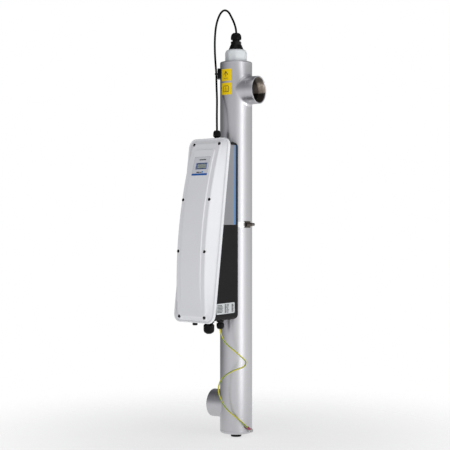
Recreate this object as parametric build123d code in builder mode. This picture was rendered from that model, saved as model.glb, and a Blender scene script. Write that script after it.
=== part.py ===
"""UV water reactor: a steel tube with an electronics box clamped to its side.

Millimetres. The tube stands on Z from z = 0, with its lamp head on top. The box is on
the -Y side, its cover facing -Y. The two side ports point near +X (upper) and -X (lower).
"""
from build123d import *
from math import acos, atan2, cos, degrees, radians, sin, tan
from typing import NamedTuple
import os

# ---------------------------------------------------------------- driving dimensions
# reactor tube
TUBE_R = 38.05            # 76.1 mm stainless tube
TUBE_WALL = 2.0
TUBE_L = 876.0            # overall, end plates included
END_T = 6.0               # bottom end plate
TOP_T = 3.0               # top end plate
# side ports, 2 inch female thread; lengths are measured from the tube axis
PORT_ANGLE = radians(10.0)      # from +X towards +Y
UPPER_PORT_Z = 807.5
LOWER_PORT_Z = 66.0
PORT_R = 32.7
PORT_THREAD_R = 29.8
PORT_BORE_R = 28.5
COLLAR_END = 43.5
PORT_FACE = 63.5
COLLAR_FILLET = 7.0
# lamp head and sleeve
NECK_R = 20.95
NECK_TOP = 896.0
NUT_BOTTOM = 876.4
NUT_TOP = 905.6
NUT_AF = 48.8             # across flats
HOLDER_TOP = 917.0
SLEEVE_R = 11.5
SLEEVE_WALL = 1.25
SLEEVE_BOTTOM = 40.0
LAMP_R = 8.0
LAMP_BOTTOM, LAMP_TOP = 63.0, 868.0     # ends of the glass
LAMP_BASE_L = 17.0
PIN_CIRCLE_R = 4.2
# box
RIM_Y, RIM_Z = -115.0, 479.5            # middle of the rim plane
RIM_TILT = atan2(54.0, 423.0)           # the rim plane leans out towards the bottom
RIM_HALF_L = 213.2
RIM_HALF_W = 64.0
BASE_HALF_W = 61.0                      # at the rim
BASE_STEP_HALF_W = 49.8                 # at the ridge near the back
BASE_TOP = 683.0
BASE_BOTTOM = 273.0
BACK_Y = -43.0                          # outer face of the wall next to the tube
WALL = 3.0
# cover, heights measured from the rim plane
CROWN_H = 32.0
CROWN_D = 1884.0                        # twice the crown radius
CROWN_HALF_W = 45.0
SKIRT_HALF_W = 59.0
COVER_INNER_W = 112.8
PANEL_HALF_W = 31.0
PANEL_TOP_U = 184.0
PANEL_END_U = -150.0
PANEL_H = 2.2
# clamp band and saddle
BAND_Z = 492.2
BAND_W = 12.7
BAND_T = 0.7
STRIP_R = 40.65           # the saddle's strip lifts the band to this radius
STRIP_HALF_DEG = 28.0
CLAMP_DEG = 84.0          # from -Y towards +X, like all angles round the tube
WORM_R = 3.1
WORM_AXIS_R = 42.6
SADDLE_W, SADDLE_H = 50.0, 70.0
# earth point
EARTH_DEG = 95.0
EARTH_Z = 9.0
EARTH_FACE = 42.5         # boss face, from the tube axis
EARTH_BORE_R = 2.56
LUG_RISE = radians(33.0)  # slope of the ring terminal above horizontal
# cables and their box entries (x, y)
CABLE_R = 2.4
EARTH_WIRE_R = 1.6
MAINS_CABLE_R = 4.5
BOX_ENTRY = (0, -66.0)
MAINS_ENTRY = (0, -93.0)
EARTH_ENTRY = (38.0, -95.0)
PLUG_ENTRY = (-38.0, -100.0)
SMALL_STUB_R = 5.6
MAINS_STUB_R = 9.6
SMALL_LOCKNUT_H = 4.0
# inside the box, heights of the middles
BALLAST_Z = 597.0
BALLAST_CAN_L = 116.0
BALLAST_SCREW_OFFSET = 65.0
TERMINAL_Z = 330.0
TERMINAL_H = 22.0
# cable clip
CLIP_DEG = -47.0
CLIP_Z = 848.8
CLIP_TIE_R = 45.2         # middle of the tie loop, from the tube axis


# ---------------------------------------------------------------- frames and helpers
def around(angle, r, z=0.0):
    """Point at an angle from -Y towards +X, a radius and a height."""
    return (r * sin(radians(angle)), -r * cos(radians(angle)), z)


def out_dir(angle):
    """Unit vector away from the tube axis."""
    return around(angle, 1.0)


def tangent_dir(angle):
    """Unit vector round the tube, towards larger angles."""
    return (cos(radians(angle)), sin(radians(angle)), 0)


def port_plane(z, side):
    """Plane through the tube axis that faces along a port."""
    return Plane(origin=(0, 0, z), x_dir=(0, 0, 1),
                 z_dir=(side * cos(PORT_ANGLE), side * sin(PORT_ANGLE), 0))


UPPER_PORT = port_plane(UPPER_PORT_Z, 1)
LOWER_PORT = port_plane(LOWER_PORT_Z, -1)

# The rim frame: x across, u up along the rim plane, n out of it towards the cover.
COS_TILT, SIN_TILT = cos(RIM_TILT), sin(RIM_TILT)
RIM = Plane(origin=(0, RIM_Y, RIM_Z), x_dir=(1, 0, 0), z_dir=(0, -COS_TILT, SIN_TILT))
RIM_SIDE = Plane(origin=(0, RIM_Y, RIM_Z), x_dir=(0, SIN_TILT, COS_TILT),
                 z_dir=(1, 0, 0))       # in-plane axes are (u, n)

# Base outline on the rim plane
BASE_TOP_U = (BASE_TOP - RIM_Z) / COS_TILT
BASE_BOTTOM_U = (BASE_BOTTOM - RIM_Z) / COS_TILT
BASE_MID = (0, (BASE_TOP_U + BASE_BOTTOM_U) / 2)
BASE_RIM_R = 15.0

# The back frame stands on the tube axis and faces -Y: an offset d lies at y = -d.
BASE_H = BASE_TOP - BASE_BOTTOM
BASE_MID_Z = (BASE_TOP + BASE_BOTTOM) / 2
BACK = Plane(origin=(0, 0, BASE_MID_Z), x_dir=(1, 0, 0), z_dir=(0, -1, 0))
BACK_INSIDE = WALL - BACK_Y             # inner face of the back wall, in the back frame

# cover screw posts, (x, u)
POSTS = [(side * x, u)
         for x, u in ((39.7, 197.7), (41.5, 66.3), (41.5, -52.8), (39.7, -200.6))
         for side in (-1, 1)]
# saddle screws and ballast screws, (x, height) in the back frame
SADDLE_HOLES = [(x, BAND_Z + dz - BASE_MID_Z) for dz in (-27.2, 27.2) for x in (-16, 16)]
BALLAST_HOLES = [(0, BALLAST_Z + side * BALLAST_SCREW_OFFSET - BASE_MID_Z)
                 for side in (-1, 1)]

EARTH = Plane(origin=(0, 0, EARTH_Z), x_dir=(0, 0, 1), z_dir=out_dir(EARTH_DEG))
_tangent = tangent_dir(EARTH_DEG)
LUG = Plane(
    origin=around(EARTH_DEG, EARTH_FACE, EARTH_Z),
    x_dir=(-cos(LUG_RISE) * _tangent[0], -cos(LUG_RISE) * _tangent[1], sin(LUG_RISE)),
    z_dir=out_dir(EARTH_DEG))
LUG_BARREL = Plane(origin=LUG.origin + LUG.z_dir * 1.95 + LUG.x_dir * 5.6, z_dir=LUG.x_dir)

WORM = Plane(origin=around(CLAMP_DEG, WORM_AXIS_R, BAND_Z), x_dir=out_dir(CLAMP_DEG),
             z_dir=tangent_dir(CLAMP_DEG))
CLIP = Plane(origin=(0, 0, CLIP_Z), x_dir=out_dir(CLIP_DEG), z_dir=(0, 0, 1))


def crown_height(u):
    return CROWN_H - u * u / CROWN_D


def panel_height(u):
    return crown_height(u) + PANEL_H * (u - PANEL_END_U) / (PANEL_TOP_U - PANEL_END_U)


def rim_point(x, u, n):
    """Rim frame coordinates to world coordinates."""
    return (x, RIM_Y + u * SIN_TILT - n * COS_TILT, RIM_Z + u * COS_TILT + n * SIN_TILT)


def cross_plane(u):
    """Plane across the cover at station u; its in-plane y is -n."""
    return Plane(origin=rim_point(0, u, 0), x_dir=(1, 0, 0), z_dir=(0, SIN_TILT, COS_TILT))


def base_rim(grow):
    """Width and length of the base outline at the rim, grown all round."""
    return 2 * (BASE_HALF_W + grow), BASE_TOP_U - BASE_BOTTOM_U + 2 * grow


def end_face(builder, plane):
    """The face that lies farthest along a plane's normal."""
    return builder.faces().sort_by(Axis(plane.origin, plane.z_dir))[-1]


def bent_path(points, share=0.42):
    """Straight runs joined by tangent arcs; each takes the same length from both its runs."""
    corners = [Vector(p) for p in points]
    with BuildLine() as path:
        here = corners[0]
        for before, corner, after in zip(corners, corners[1:], corners[2:]):
            dir_in, dir_out = (corner - before).normalized(), (after - corner).normalized()
            turn = acos(max(-1.0, min(1.0, dir_in.dot(dir_out))))
            if turn < 1e-3:
                continue
            trim = share * min((corner - before).length, (after - corner).length)
            start, stop = corner - dir_in * trim, corner + dir_out * trim
            sag = trim / tan(turn / 2) * (1 / cos(turn / 2) - 1)
            Line(here, start)
            ThreePointArc(start, corner + (dir_out - dir_in).normalized() * sag, stop)
            here = stop
        Line(here, corners[-1])
    return path.wires()[0]


# ================================================================ reactor
def reactor_tube():
    """Tube with the two port collars blended into it."""
    length = TUBE_L - END_T - TOP_T
    with BuildPart() as tube:
        with BuildSketch(Plane.XY.offset(END_T)):
            Circle(TUBE_R)
        extrude(amount=length)
        for port in (UPPER_PORT, LOWER_PORT):
            with BuildSketch(port):
                Circle(PORT_R)
            extrude(amount=COLLAR_END)
        # only the saddle curves where the collars meet the tube
        roots = tube.edges().filter_by(
            lambda e: e.geom_type not in (GeomType.LINE, GeomType.CIRCLE))
        fillet(roots, COLLAR_FILLET)
        with BuildSketch(Plane.XY.offset(END_T)):
            Circle(TUBE_R - TUBE_WALL)
        extrude(amount=length, mode=Mode.SUBTRACT)
        for port in (UPPER_PORT, LOWER_PORT):
            with BuildSketch(port):
                Circle(PORT_BORE_R)
            extrude(amount=COLLAR_END, mode=Mode.SUBTRACT)
    return tube.part


def port_socket(port):
    with BuildPart() as socket:
        with BuildSketch(port.offset(COLLAR_END)):
            Circle(PORT_R)
            Circle(PORT_THREAD_R, mode=Mode.SUBTRACT)
        extrude(amount=PORT_FACE - COLLAR_END)
        chamfer(end_face(socket, port).edges().sort_by(SortBy.LENGTH)[0], 0.8)
        fillet(end_face(socket, port).edges().sort_by(SortBy.LENGTH)[-1], 0.6)
    return socket.part


def top_end_plate():
    """Plate with a threaded neck; the counterbore seats the sleeve's O-ring."""
    plate_bottom = Plane.XY.offset(TUBE_L - TOP_T)
    with BuildPart() as plate:
        with BuildSketch(plate_bottom):
            Circle(TUBE_R)
        extrude(amount=TOP_T)
        fillet(plate.faces().sort_by(Axis.Z)[-1].edges(), 2.5)
        with BuildSketch(plate_bottom):
            Circle(NECK_R)
        extrude(amount=NECK_TOP - TUBE_L + TOP_T)
        chamfer(plate.faces().sort_by(Axis.Z)[-1].edges(), 0.8)
        with BuildSketch(plate_bottom):
            Circle(SLEEVE_R + 0.4)
        extrude(amount=40, mode=Mode.SUBTRACT)
        with BuildSketch(Plane.XY.offset(NECK_TOP - 3.4)):
            Circle(SLEEVE_R + 3.45)
        extrude(amount=10, mode=Mode.SUBTRACT)
    return plate.part


def bottom_end_plate():
    """Plate with a rolled edge and an inner boss for the drain plug."""
    boss_h = 10
    with BuildPart() as plate:
        with BuildSketch(Plane.XY):
            Circle(TUBE_R)
        extrude(amount=END_T)
        fillet(plate.faces().sort_by(Axis.Z)[0].edges(), 5.4)
        with BuildSketch(Plane.XY.offset(END_T)):
            Circle(15.5)
        extrude(amount=boss_h)
        with BuildSketch(Plane.XY):
            Circle(10.5)
        extrude(amount=END_T + boss_h, mode=Mode.SUBTRACT)
    return plate.part


def drain_plug():
    """Tapered head below the plate, O-ring groove, shank and hexagon socket."""
    head_top, head_h = -0.1, 8.9
    groove_h = 2.4
    shank_r = 10.44
    with BuildPart() as plug:
        with BuildSketch(Plane.XY.offset(head_top)):
            Circle(14.25)
        extrude(amount=-head_h, taper=13)
        with BuildSketch(Plane.XY.offset(head_top - groove_h)):
            Circle(13.4)
            Circle(shank_r, mode=Mode.SUBTRACT)
        extrude(amount=groove_h, mode=Mode.SUBTRACT)
        with BuildSketch(Plane.XY.offset(head_top - groove_h - 0.1)):
            Circle(shank_r)
        extrude(amount=17.6)
        chamfer(plug.faces().sort_by(Axis.Z)[-1].edges(), 1.2)
        with BuildSketch(Plane.XY.offset(head_top - head_h)):
            RegularPolygon(5.0, 6, major_radius=False)
        extrude(amount=6, mode=Mode.SUBTRACT)
    return plug.part


def o_ring(ring_r, z, cord_r):
    with BuildPart() as ring:
        with BuildSketch(Plane.XZ):
            with Locations((ring_r, z)):
                Circle(cord_r)
        revolve(axis=Axis.Z)
    return ring.part


# ================================================================ earth point
def earth_boss():
    with BuildPart() as boss:
        with BuildSketch(EARTH.offset(EARTH_FACE - 6.5)):
            Circle(4.6)
        extrude(amount=6.5)
        with BuildSketch(Plane.XY.offset(-5)):
            Circle(TUBE_R)
        extrude(amount=30, mode=Mode.SUBTRACT)
        with BuildSketch(EARTH.offset(38.4)):
            Circle(EARTH_BORE_R)
        extrude(amount=6, mode=Mode.SUBTRACT)
    return boss.part


def earth_screw():
    """Slotted hexagon screw."""
    head_start = EARTH_FACE + 2.0
    with BuildPart() as screw:
        with BuildSketch(EARTH.offset(head_start)):
            RegularPolygon(4.0, 6, major_radius=False)
        extrude(amount=3.2)
        chamfer(end_face(screw, EARTH).edges(), 0.4)
        with BuildSketch(EARTH.offset(38.9)):
            Circle(2.5)
        extrude(amount=5.8)
        with BuildSketch(EARTH.offset(head_start + 2.3)):
            Rectangle(1.0, 12)
        extrude(amount=3, mode=Mode.SUBTRACT)
    return screw.part


def earth_washer():
    with BuildPart() as washer:
        with BuildSketch(EARTH.offset(EARTH_FACE + 0.95)):
            Circle(4.7)
            Circle(EARTH_BORE_R, mode=Mode.SUBTRACT)
        extrude(amount=1.03)
    return washer.part


def ring_terminal():
    """Flat ring, tongue and crimp barrel."""
    barrel_l = 8.6
    with BuildPart() as terminal:
        with BuildSketch(LUG):
            Circle(4.7)
            with Locations((5.2, 0)):
                Rectangle(6.0, 4.2)
            Circle(2.6, mode=Mode.SUBTRACT)
        extrude(amount=0.9)
        with BuildSketch(LUG_BARREL):
            Circle(2.55)
        extrude(amount=barrel_l)
        with BuildSketch(LUG_BARREL):
            Circle(EARTH_WIRE_R + 0.06)
        extrude(amount=barrel_l, mode=Mode.SUBTRACT)
    return terminal.part


# ================================================================ lamp and sleeve
def quartz_sleeve():
    """Tube with a closed, rounded lower end."""
    with BuildPart() as sleeve:
        with BuildSketch(Plane.XY.offset(SLEEVE_BOTTOM)):
            Circle(SLEEVE_R)
        extrude(amount=NECK_TOP - 0.1 - SLEEVE_BOTTOM)
        fillet(sleeve.faces().sort_by(Axis.Z)[0].edges(), 3)
        with BuildSketch(Plane.XY.offset(SLEEVE_BOTTOM + 3)):
            Circle(SLEEVE_R - SLEEVE_WALL)
        extrude(amount=NECK_TOP, mode=Mode.SUBTRACT)
    return sleeve.part


def thrust_washer():
    with BuildPart() as washer:
        with BuildSketch(Plane.XY.offset(NECK_TOP)):
            Circle(20.3)
            Circle(9.0, mode=Mode.SUBTRACT)
        extrude(amount=2.0)
    return washer.part


def uv_lamp():
    with BuildPart() as lamp:
        with BuildSketch(Plane.XY.offset(LAMP_BOTTOM)):
            Circle(LAMP_R)
            Circle(LAMP_R - 1.0, mode=Mode.SUBTRACT)
        extrude(amount=LAMP_TOP - LAMP_BOTTOM)
    return lamp.part


def lamp_bases():
    with BuildPart() as bases:
        for bottom in (LAMP_BOTTOM - LAMP_BASE_L, LAMP_TOP):
            with BuildSketch(Plane.XY.offset(bottom)):
                Circle(8.6)
            extrude(amount=LAMP_BASE_L)
        fillet(bases.edges().filter_by(GeomType.CIRCLE), 1.2)
    return bases.part


def lamp_pins():
    with BuildPart() as pins:
        with BuildSketch(Plane.XY.offset(LAMP_TOP + LAMP_BASE_L)):
            with PolarLocations(PIN_CIRCLE_R, 4, start_angle=45):
                Circle(0.95)
        extrude(amount=7)
    return pins.part


def lamp_socket():
    bottom = LAMP_TOP + LAMP_BASE_L + 0.2
    with BuildPart() as socket:
        with BuildSketch(Plane.XY.offset(bottom)):
            Circle(8.4)
        extrude(amount=18.8)
        chamfer(socket.edges().filter_by(GeomType.CIRCLE), 0.6)
        with BuildSketch(Plane.XY.offset(bottom)):
            with PolarLocations(PIN_CIRCLE_R, 4, start_angle=45):
                Circle(1.0)
        extrude(amount=8, mode=Mode.SUBTRACT)
    return socket.part


def lamp_nut():
    """Eight-sided screw nut with a rounded shoulder."""
    corner_r, shoulder_z = 26.2, 894.5
    with BuildPart() as nut:
        with BuildSketch(Plane.XY.offset(NUT_BOTTOM)):
            octagon = RegularPolygon(NUT_AF / 2, 8, major_radius=False)
            fillet(octagon.vertices(), 6)
        extrude(amount=NUT_TOP - NUT_BOTTOM)
        with BuildSketch(Plane.XZ):
            with BuildLine():
                Polyline((0, NUT_BOTTOM), (corner_r, NUT_BOTTOM), (corner_r, shoulder_z))
                shoulder = Bezier((corner_r, shoulder_z), (26.0, 900.7), (23.4, 905.1),
                                  (18.6, NUT_TOP))
                Polyline(shoulder @ 1, (0, NUT_TOP), (0, NUT_BOTTOM))
            make_face()
        revolve(axis=Axis.Z, mode=Mode.INTERSECT)
        # threaded bore, up to just above the holder's flange
        with BuildSketch(Plane.XY.offset(NUT_BOTTOM)):
            Circle(NECK_R + 0.06)
        extrude(amount=902.05 - NUT_BOTTOM, mode=Mode.SUBTRACT)
        with BuildSketch(Plane.XY.offset(NUT_BOTTOM)):
            Circle(17.85)
        extrude(amount=60, mode=Mode.SUBTRACT)
    return nut.part


# (radius, z): a flange under the nut, a cone above it
HOLDER_PROFILE = [
    (8.5, 898.02), (20.4, 898.02), (20.4, 902.0), (17.75, 902.0), (17.75, 906.4),
    (17.4, 907.2), (13.4, HOLDER_TOP), (8.0, HOLDER_TOP), (8.0, 908.0), (8.5, 908.0),
    (8.5, 898.02),
]


def lamp_holder():
    with BuildPart() as holder:
        with BuildSketch(Plane.XZ):
            with BuildLine():
                Polyline(*HOLDER_PROFILE)
            make_face()
        revolve(axis=Axis.Z)
    return holder.part


# ================================================================ cable glands
GLAND_TOP_T = 4.0         # thickness of the dome nut's end


class Gland(NamedTuple):
    """Sizes of one gland; heights go out from the seat, the face it screws down on."""
    seat: Plane
    stub_r: float         # stub behind the seat
    stub_len: float
    hex_r: float
    hex_h: float
    neck_r: float
    neck_h: float         # bare neck between hexagon and nut
    nut_r: float
    nut_h: float
    cable_r: float

    @property
    def bore_r(self):
        return self.cable_r + 0.8

    @property
    def pocket_r(self):
        return self.neck_r - 1.6

    @property
    def nut_start(self):
        return self.hex_h + self.neck_h

    @property
    def thread_top(self):
        return self.nut_start + 0.55 * self.nut_h

    @property
    def nut_top(self):
        return self.nut_start + self.nut_h


def gland_seat(x, y, z, direction):
    return Plane(origin=(x, y, z), x_dir=(1, 0, 0), z_dir=(0, 0, direction))


# after the seat, the columns follow the fields of Gland
GLANDS = {
    "lamp": Gland(gland_seat(0, 0, HOLDER_TOP, 1),
                  7.98, 9.0, 13.2, 8.0, 8.6, 4.0, 12.6, 17.0, CABLE_R),
    "box": Gland(gland_seat(*BOX_ENTRY, BASE_TOP, 1),
                 SMALL_STUB_R, 9.0, 9.2, 6.5, 5.9, 2.5, 8.7, 19.0, CABLE_R),
    "mains": Gland(gland_seat(*MAINS_ENTRY, BASE_BOTTOM, -1),
                   MAINS_STUB_R, 11.0, 13.2, 8.0, 9.6, 3.5, 12.6, 20.5, MAINS_CABLE_R),
    "earth": Gland(gland_seat(*EARTH_ENTRY, BASE_BOTTOM, -1),
                   SMALL_STUB_R, 9.0, 9.0, 4.0, 5.9, 2.0, 8.6, 14.0, EARTH_WIRE_R),
}


def gland_body(gland):
    with BuildPart() as body:
        with BuildSketch(gland.seat):
            hexagon = RegularPolygon(gland.hex_r, 6)
            fillet(hexagon.vertices(), 1.2)
        extrude(amount=gland.hex_h)
        with BuildSketch(gland.seat.offset(-gland.stub_len)):
            Circle(gland.stub_r)
        extrude(amount=gland.stub_len)
        with BuildSketch(gland.seat.offset(gland.hex_h)):
            Circle(gland.neck_r)
        extrude(amount=gland.thread_top - gland.hex_h)
        with BuildSketch(gland.seat.offset(-gland.stub_len)):
            Circle(gland.bore_r)
        extrude(amount=gland.stub_len + gland.thread_top, mode=Mode.SUBTRACT)
        # pocket for the seal
        with BuildSketch(gland.seat.offset(gland.hex_h + 1.0)):
            Circle(gland.pocket_r)
        extrude(amount=gland.thread_top, mode=Mode.SUBTRACT)
    return body.part


def gland_seal(gland):
    start = gland.hex_h + 1.1
    with BuildPart() as seal:
        with BuildSketch(gland.seat.offset(start)):
            Circle(gland.pocket_r - 0.06)
            Circle(gland.cable_r + 0.06, mode=Mode.SUBTRACT)
        extrude(amount=gland.nut_top - GLAND_TOP_T - 0.05 - start)
    return seal.part


def gland_nut(gland):
    nut_plane = gland.seat.offset(gland.nut_start)
    with BuildPart() as nut:
        with BuildSketch(nut_plane):
            hexagon = RegularPolygon(gland.nut_r, 6)
            fillet(hexagon.vertices(), 1.0)
        extrude(amount=gland.nut_h)
        fillet(end_face(nut, gland.seat).edges(), gland.nut_r * 0.3)
        with BuildSketch(nut_plane):
            Circle(gland.neck_r + 0.06)
        extrude(amount=gland.nut_h - GLAND_TOP_T, mode=Mode.SUBTRACT)
        with BuildSketch(nut_plane):
            Circle(gland.bore_r)
        extrude(amount=gland.nut_h, mode=Mode.SUBTRACT)
    return nut.part


def mains_gland_blank():
    """Transit plug in the empty mains gland."""
    gland = GLANDS["mains"]
    with BuildPart() as blank:
        with BuildSketch(gland.seat.offset(4)):
            Circle(MAINS_CABLE_R)
        extrude(amount=28.5)
        with BuildSketch(gland.seat.offset(gland.nut_top + 0.1)):
            Circle(6.2)
        extrude(amount=1.2)
    return blank.part


def mains_gland_locknut():
    with BuildPart() as locknut:
        with BuildSketch(Plane.XY.offset(BASE_BOTTOM + WALL)):
            with Locations(MAINS_ENTRY):
                RegularPolygon(12.5, 6)
                Circle(MAINS_STUB_R + 0.03, mode=Mode.SUBTRACT)
        extrude(amount=5)
    return locknut.part


def small_gland_locknuts():
    """Locknuts of the earth gland and of the box gland."""
    with BuildPart() as locknuts:
        for entry, bottom in ((EARTH_ENTRY, BASE_BOTTOM + WALL),
                              (BOX_ENTRY, BASE_TOP - WALL - SMALL_LOCKNUT_H)):
            with BuildSketch(Plane.XY.offset(bottom)):
                with Locations(entry):
                    RegularPolygon(8.4, 6)
                    Circle(SMALL_STUB_R + 0.03, mode=Mode.SUBTRACT)
            extrude(amount=SMALL_LOCKNUT_H)
    return locknuts.part


def blanking_plug():
    """One-piece plug in the unused small entry."""
    hex_h, knob_h = 6.0, 9.5
    hex_bottom = BASE_BOTTOM - hex_h
    with BuildPart() as plug:
        with BuildSketch(Plane.XY.offset(hex_bottom - knob_h)):
            with Locations(PLUG_ENTRY):
                Circle(6.0)
        extrude(amount=knob_h)
        fillet(plug.faces().sort_by(Axis.Z)[0].edges(), 2.0)
        with BuildSketch(Plane.XY.offset(hex_bottom)):
            with Locations(PLUG_ENTRY):
                RegularPolygon(7.4, 6)
        extrude(amount=hex_h)
        with BuildSketch(Plane.XY.offset(BASE_BOTTOM)):
            with Locations(PLUG_ENTRY):
                Circle(4.98)
        extrude(amount=9)
    return plug.part


# ================================================================ clamp
def band_profile(grow):
    """Area in a taut band: the tube, the raised strip and the straight runs between."""
    tube_r, strip_r = TUBE_R + 0.05 + grow, STRIP_R + grow
    tangent = degrees(acos(tube_r / strip_r)) + STRIP_HALF_DEG
    with BuildSketch() as profile:
        Circle(strip_r)
        Polygon((0, 0), around(-STRIP_HALF_DEG, 90)[:2], around(STRIP_HALF_DEG, 90)[:2],
                align=None, mode=Mode.INTERSECT)
        Circle(tube_r)
        for side in (-1, 1):
            Polygon((0, 0), around(side * STRIP_HALF_DEG, strip_r)[:2],
                    around(side * tangent, tube_r)[:2], align=None)
    return profile.sketch


def clamp_band():
    bottom = Plane.XY.offset(BAND_Z - BAND_W / 2)
    with BuildPart() as band:
        with BuildSketch(bottom):
            add(band_profile(BAND_T))
        extrude(amount=BAND_W)
        with BuildSketch(bottom):
            add(band_profile(0.0))
        extrude(amount=BAND_W, mode=Mode.SUBTRACT)
    return band.part


def clamp_housing():
    """Worm housing, hollowed for the screw and cut to sit on the band."""
    start, length = -7, 15.5            # along the worm
    with BuildPart() as housing:
        with BuildSketch(WORM.offset(start)):
            Circle(4.6)
            with Locations((-2.9, 0)):
                Rectangle(3.4, 15.2)
            with Locations((-2.0, 0)):
                Rectangle(4.6, 9.0)
        extrude(amount=length)
        with BuildSketch(WORM.offset(start)):
            Circle(WORM_R + 0.08)
        extrude(amount=length, mode=Mode.SUBTRACT)
        with BuildSketch(Plane.XY.offset(BAND_Z - BAND_W / 2 - 0.1)):
            add(band_profile(BAND_T + 0.1))
        extrude(amount=BAND_W + 0.2, mode=Mode.SUBTRACT)
        with BuildSketch(Plane.XY.offset(BAND_Z - 15)):
            Circle(TUBE_R)
        extrude(amount=30, mode=Mode.SUBTRACT)
    return housing.part


def clamp_screw():
    """Worm, collar and slotted hexagon head."""
    collar_start, collar_h = 9.0, 1.4
    with BuildPart() as screw:
        with BuildSketch(WORM.offset(-6.6)):
            Circle(WORM_R)
        extrude(amount=collar_start + 6.6)
        with BuildSketch(WORM.offset(collar_start)):
            Circle(4.3)
        extrude(amount=collar_h)
        with BuildSketch(WORM.offset(collar_start + collar_h)):
            RegularPolygon(3.5, 6, major_radius=False)
        extrude(amount=7.6)
        with BuildSketch(WORM.offset(15.6)):
            Rectangle(1.0, 12)
        extrude(amount=3, mode=Mode.SUBTRACT)
    return screw.part


# ================================================================ box base
def base_solid():
    """The base's outer shape, from the rim back to the wall next to the tube."""
    with BuildPart() as solid:
        with BuildSketch(RIM):
            with Locations(BASE_MID):
                RectangleRounded(*base_rim(0), BASE_RIM_R)
        with BuildSketch(BACK.offset(52)):
            RectangleRounded(2 * BASE_STEP_HALF_W, BASE_H, 12)
        with BuildSketch(BACK.offset(46.5)):
            RectangleRounded(2 * 48.2, BASE_H - 2.6, 11)
        with BuildSketch(BACK.offset(-BACK_Y)):
            RectangleRounded(2 * 44.0, BASE_H - 11, 8)
        loft(ruled=True)
    return solid.part


BASE_SOLID = base_solid()


def base_hollow():
    """The space inside the base, less the screw posts."""
    post_r, gap = 5.0, 0.4              # the posts end this gap below the rim plane
    with BuildPart() as hollow:
        with BuildSketch(RIM.offset(0.5)):
            with Locations(BASE_MID):
                RectangleRounded(*base_rim(-WALL), BASE_RIM_R - WALL)
        with BuildSketch(BACK.offset(53)):
            RectangleRounded(2 * (BASE_STEP_HALF_W - WALL), BASE_H - 2 * WALL, 9)
        with BuildSketch(BACK.offset(BACK_INSIDE)):
            RectangleRounded(2 * 43.0, BASE_H - 14, 7)
        loft(ruled=True)
        # the lower pair stops short, against the bottom wall
        for posts, depth in ((POSTS[:6], 95), (POSTS[6:], 24)):
            with BuildSketch(RIM.offset(-depth)):
                with Locations(*posts):
                    Circle(post_r)
            extrude(amount=depth - gap, mode=Mode.SUBTRACT)
    return hollow.part


def box_base():
    flat_depth = 6
    with BuildPart() as base:
        add(BASE_SOLID)
        add(base_hollow(), mode=Mode.SUBTRACT)
        with BuildSketch(RIM.offset(-18)):
            with Locations(*POSTS):
                Circle(2.06)
        extrude(amount=19, mode=Mode.SUBTRACT)
        # cable entries
        with BuildSketch(Plane.XY.offset(BASE_TOP - 6)):
            with Locations(BOX_ENTRY):
                Circle(SMALL_STUB_R + 0.1)
        extrude(amount=12, mode=Mode.SUBTRACT)
        with BuildSketch(Plane.XY.offset(BASE_BOTTOM - 4)):
            with Locations(MAINS_ENTRY):
                Circle(MAINS_STUB_R + 0.1)
            with Locations(EARTH_ENTRY):
                Circle(SMALL_STUB_R + 0.1)
            with Locations(PLUG_ENTRY):
                Circle(5.08)
        extrude(amount=9, mode=Mode.SUBTRACT)
        # flats for the locknuts
        with BuildSketch(Plane.XY.offset(BASE_BOTTOM + WALL)):
            with Locations(MAINS_ENTRY):
                Circle(13.0)
            with Locations(EARTH_ENTRY):
                Circle(9.0)
        extrude(amount=flat_depth, mode=Mode.SUBTRACT)
        with BuildSketch(Plane.XY.offset(BASE_TOP - WALL - flat_depth)):
            with Locations(BOX_ENTRY):
                Circle(9.0)
        extrude(amount=flat_depth, mode=Mode.SUBTRACT)
        # saddle screw holes
        with BuildSketch(BACK.offset(-BACK_Y)):
            with Locations(*SADDLE_HOLES):
                Circle(2.1)
        extrude(amount=6, mode=Mode.SUBTRACT)
    return base.part


def mounting_saddle():
    """Block between box and tube; the band runs through its slot, over a strip."""
    front_y = -28                       # the block's edge on the tube side
    block_mid = (0, (BACK_Y + front_y) / 2)
    block_bottom = Plane.XY.offset(BAND_Z - SADDLE_H / 2)
    slot_bottom = Plane.XY.offset(BAND_Z - BAND_W / 2 - 0.6)
    slot_h = BAND_W + 1.2
    with BuildPart() as saddle:
        with BuildSketch(block_bottom):
            with Locations(block_mid):
                Rectangle(SADDLE_W, front_y - BACK_Y)
        extrude(amount=SADDLE_H)
        with BuildSketch(Plane.XY.offset(BAND_Z - 40)):
            Circle(TUBE_R)
        extrude(amount=80, mode=Mode.SUBTRACT)
        with BuildSketch(slot_bottom):
            add(band_profile(BAND_T + 0.15))
        extrude(amount=slot_h, mode=Mode.SUBTRACT)
        with BuildSketch(slot_bottom):
            add(band_profile(-0.05))
            Circle(TUBE_R, mode=Mode.SUBTRACT)
        extrude(amount=slot_h)
        with BuildSketch(BACK.offset(-BACK_Y)):
            with Locations(*SADDLE_HOLES):
                Circle(2.02)
        extrude(amount=-6.0, mode=Mode.SUBTRACT)
        # keep the strip inside the block's outline
        with BuildSketch(block_bottom):
            with Locations(block_mid):
                Rectangle(SADDLE_W, front_y - BACK_Y)
        extrude(amount=SADDLE_H, mode=Mode.INTERSECT)
    return saddle.part


def saddle_screws():
    with BuildPart() as screws:
        for hole in SADDLE_HOLES:
            with BuildSketch(BACK.offset(37.4)):
                with Locations(hole):
                    Circle(2.0)
            extrude(amount=8.8)
            with BuildSketch(BACK.offset(BACK_INSIDE + 0.02)):
                with Locations(hole):
                    Circle(3.6)
            extrude(amount=2.4)
    return screws.part


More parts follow.
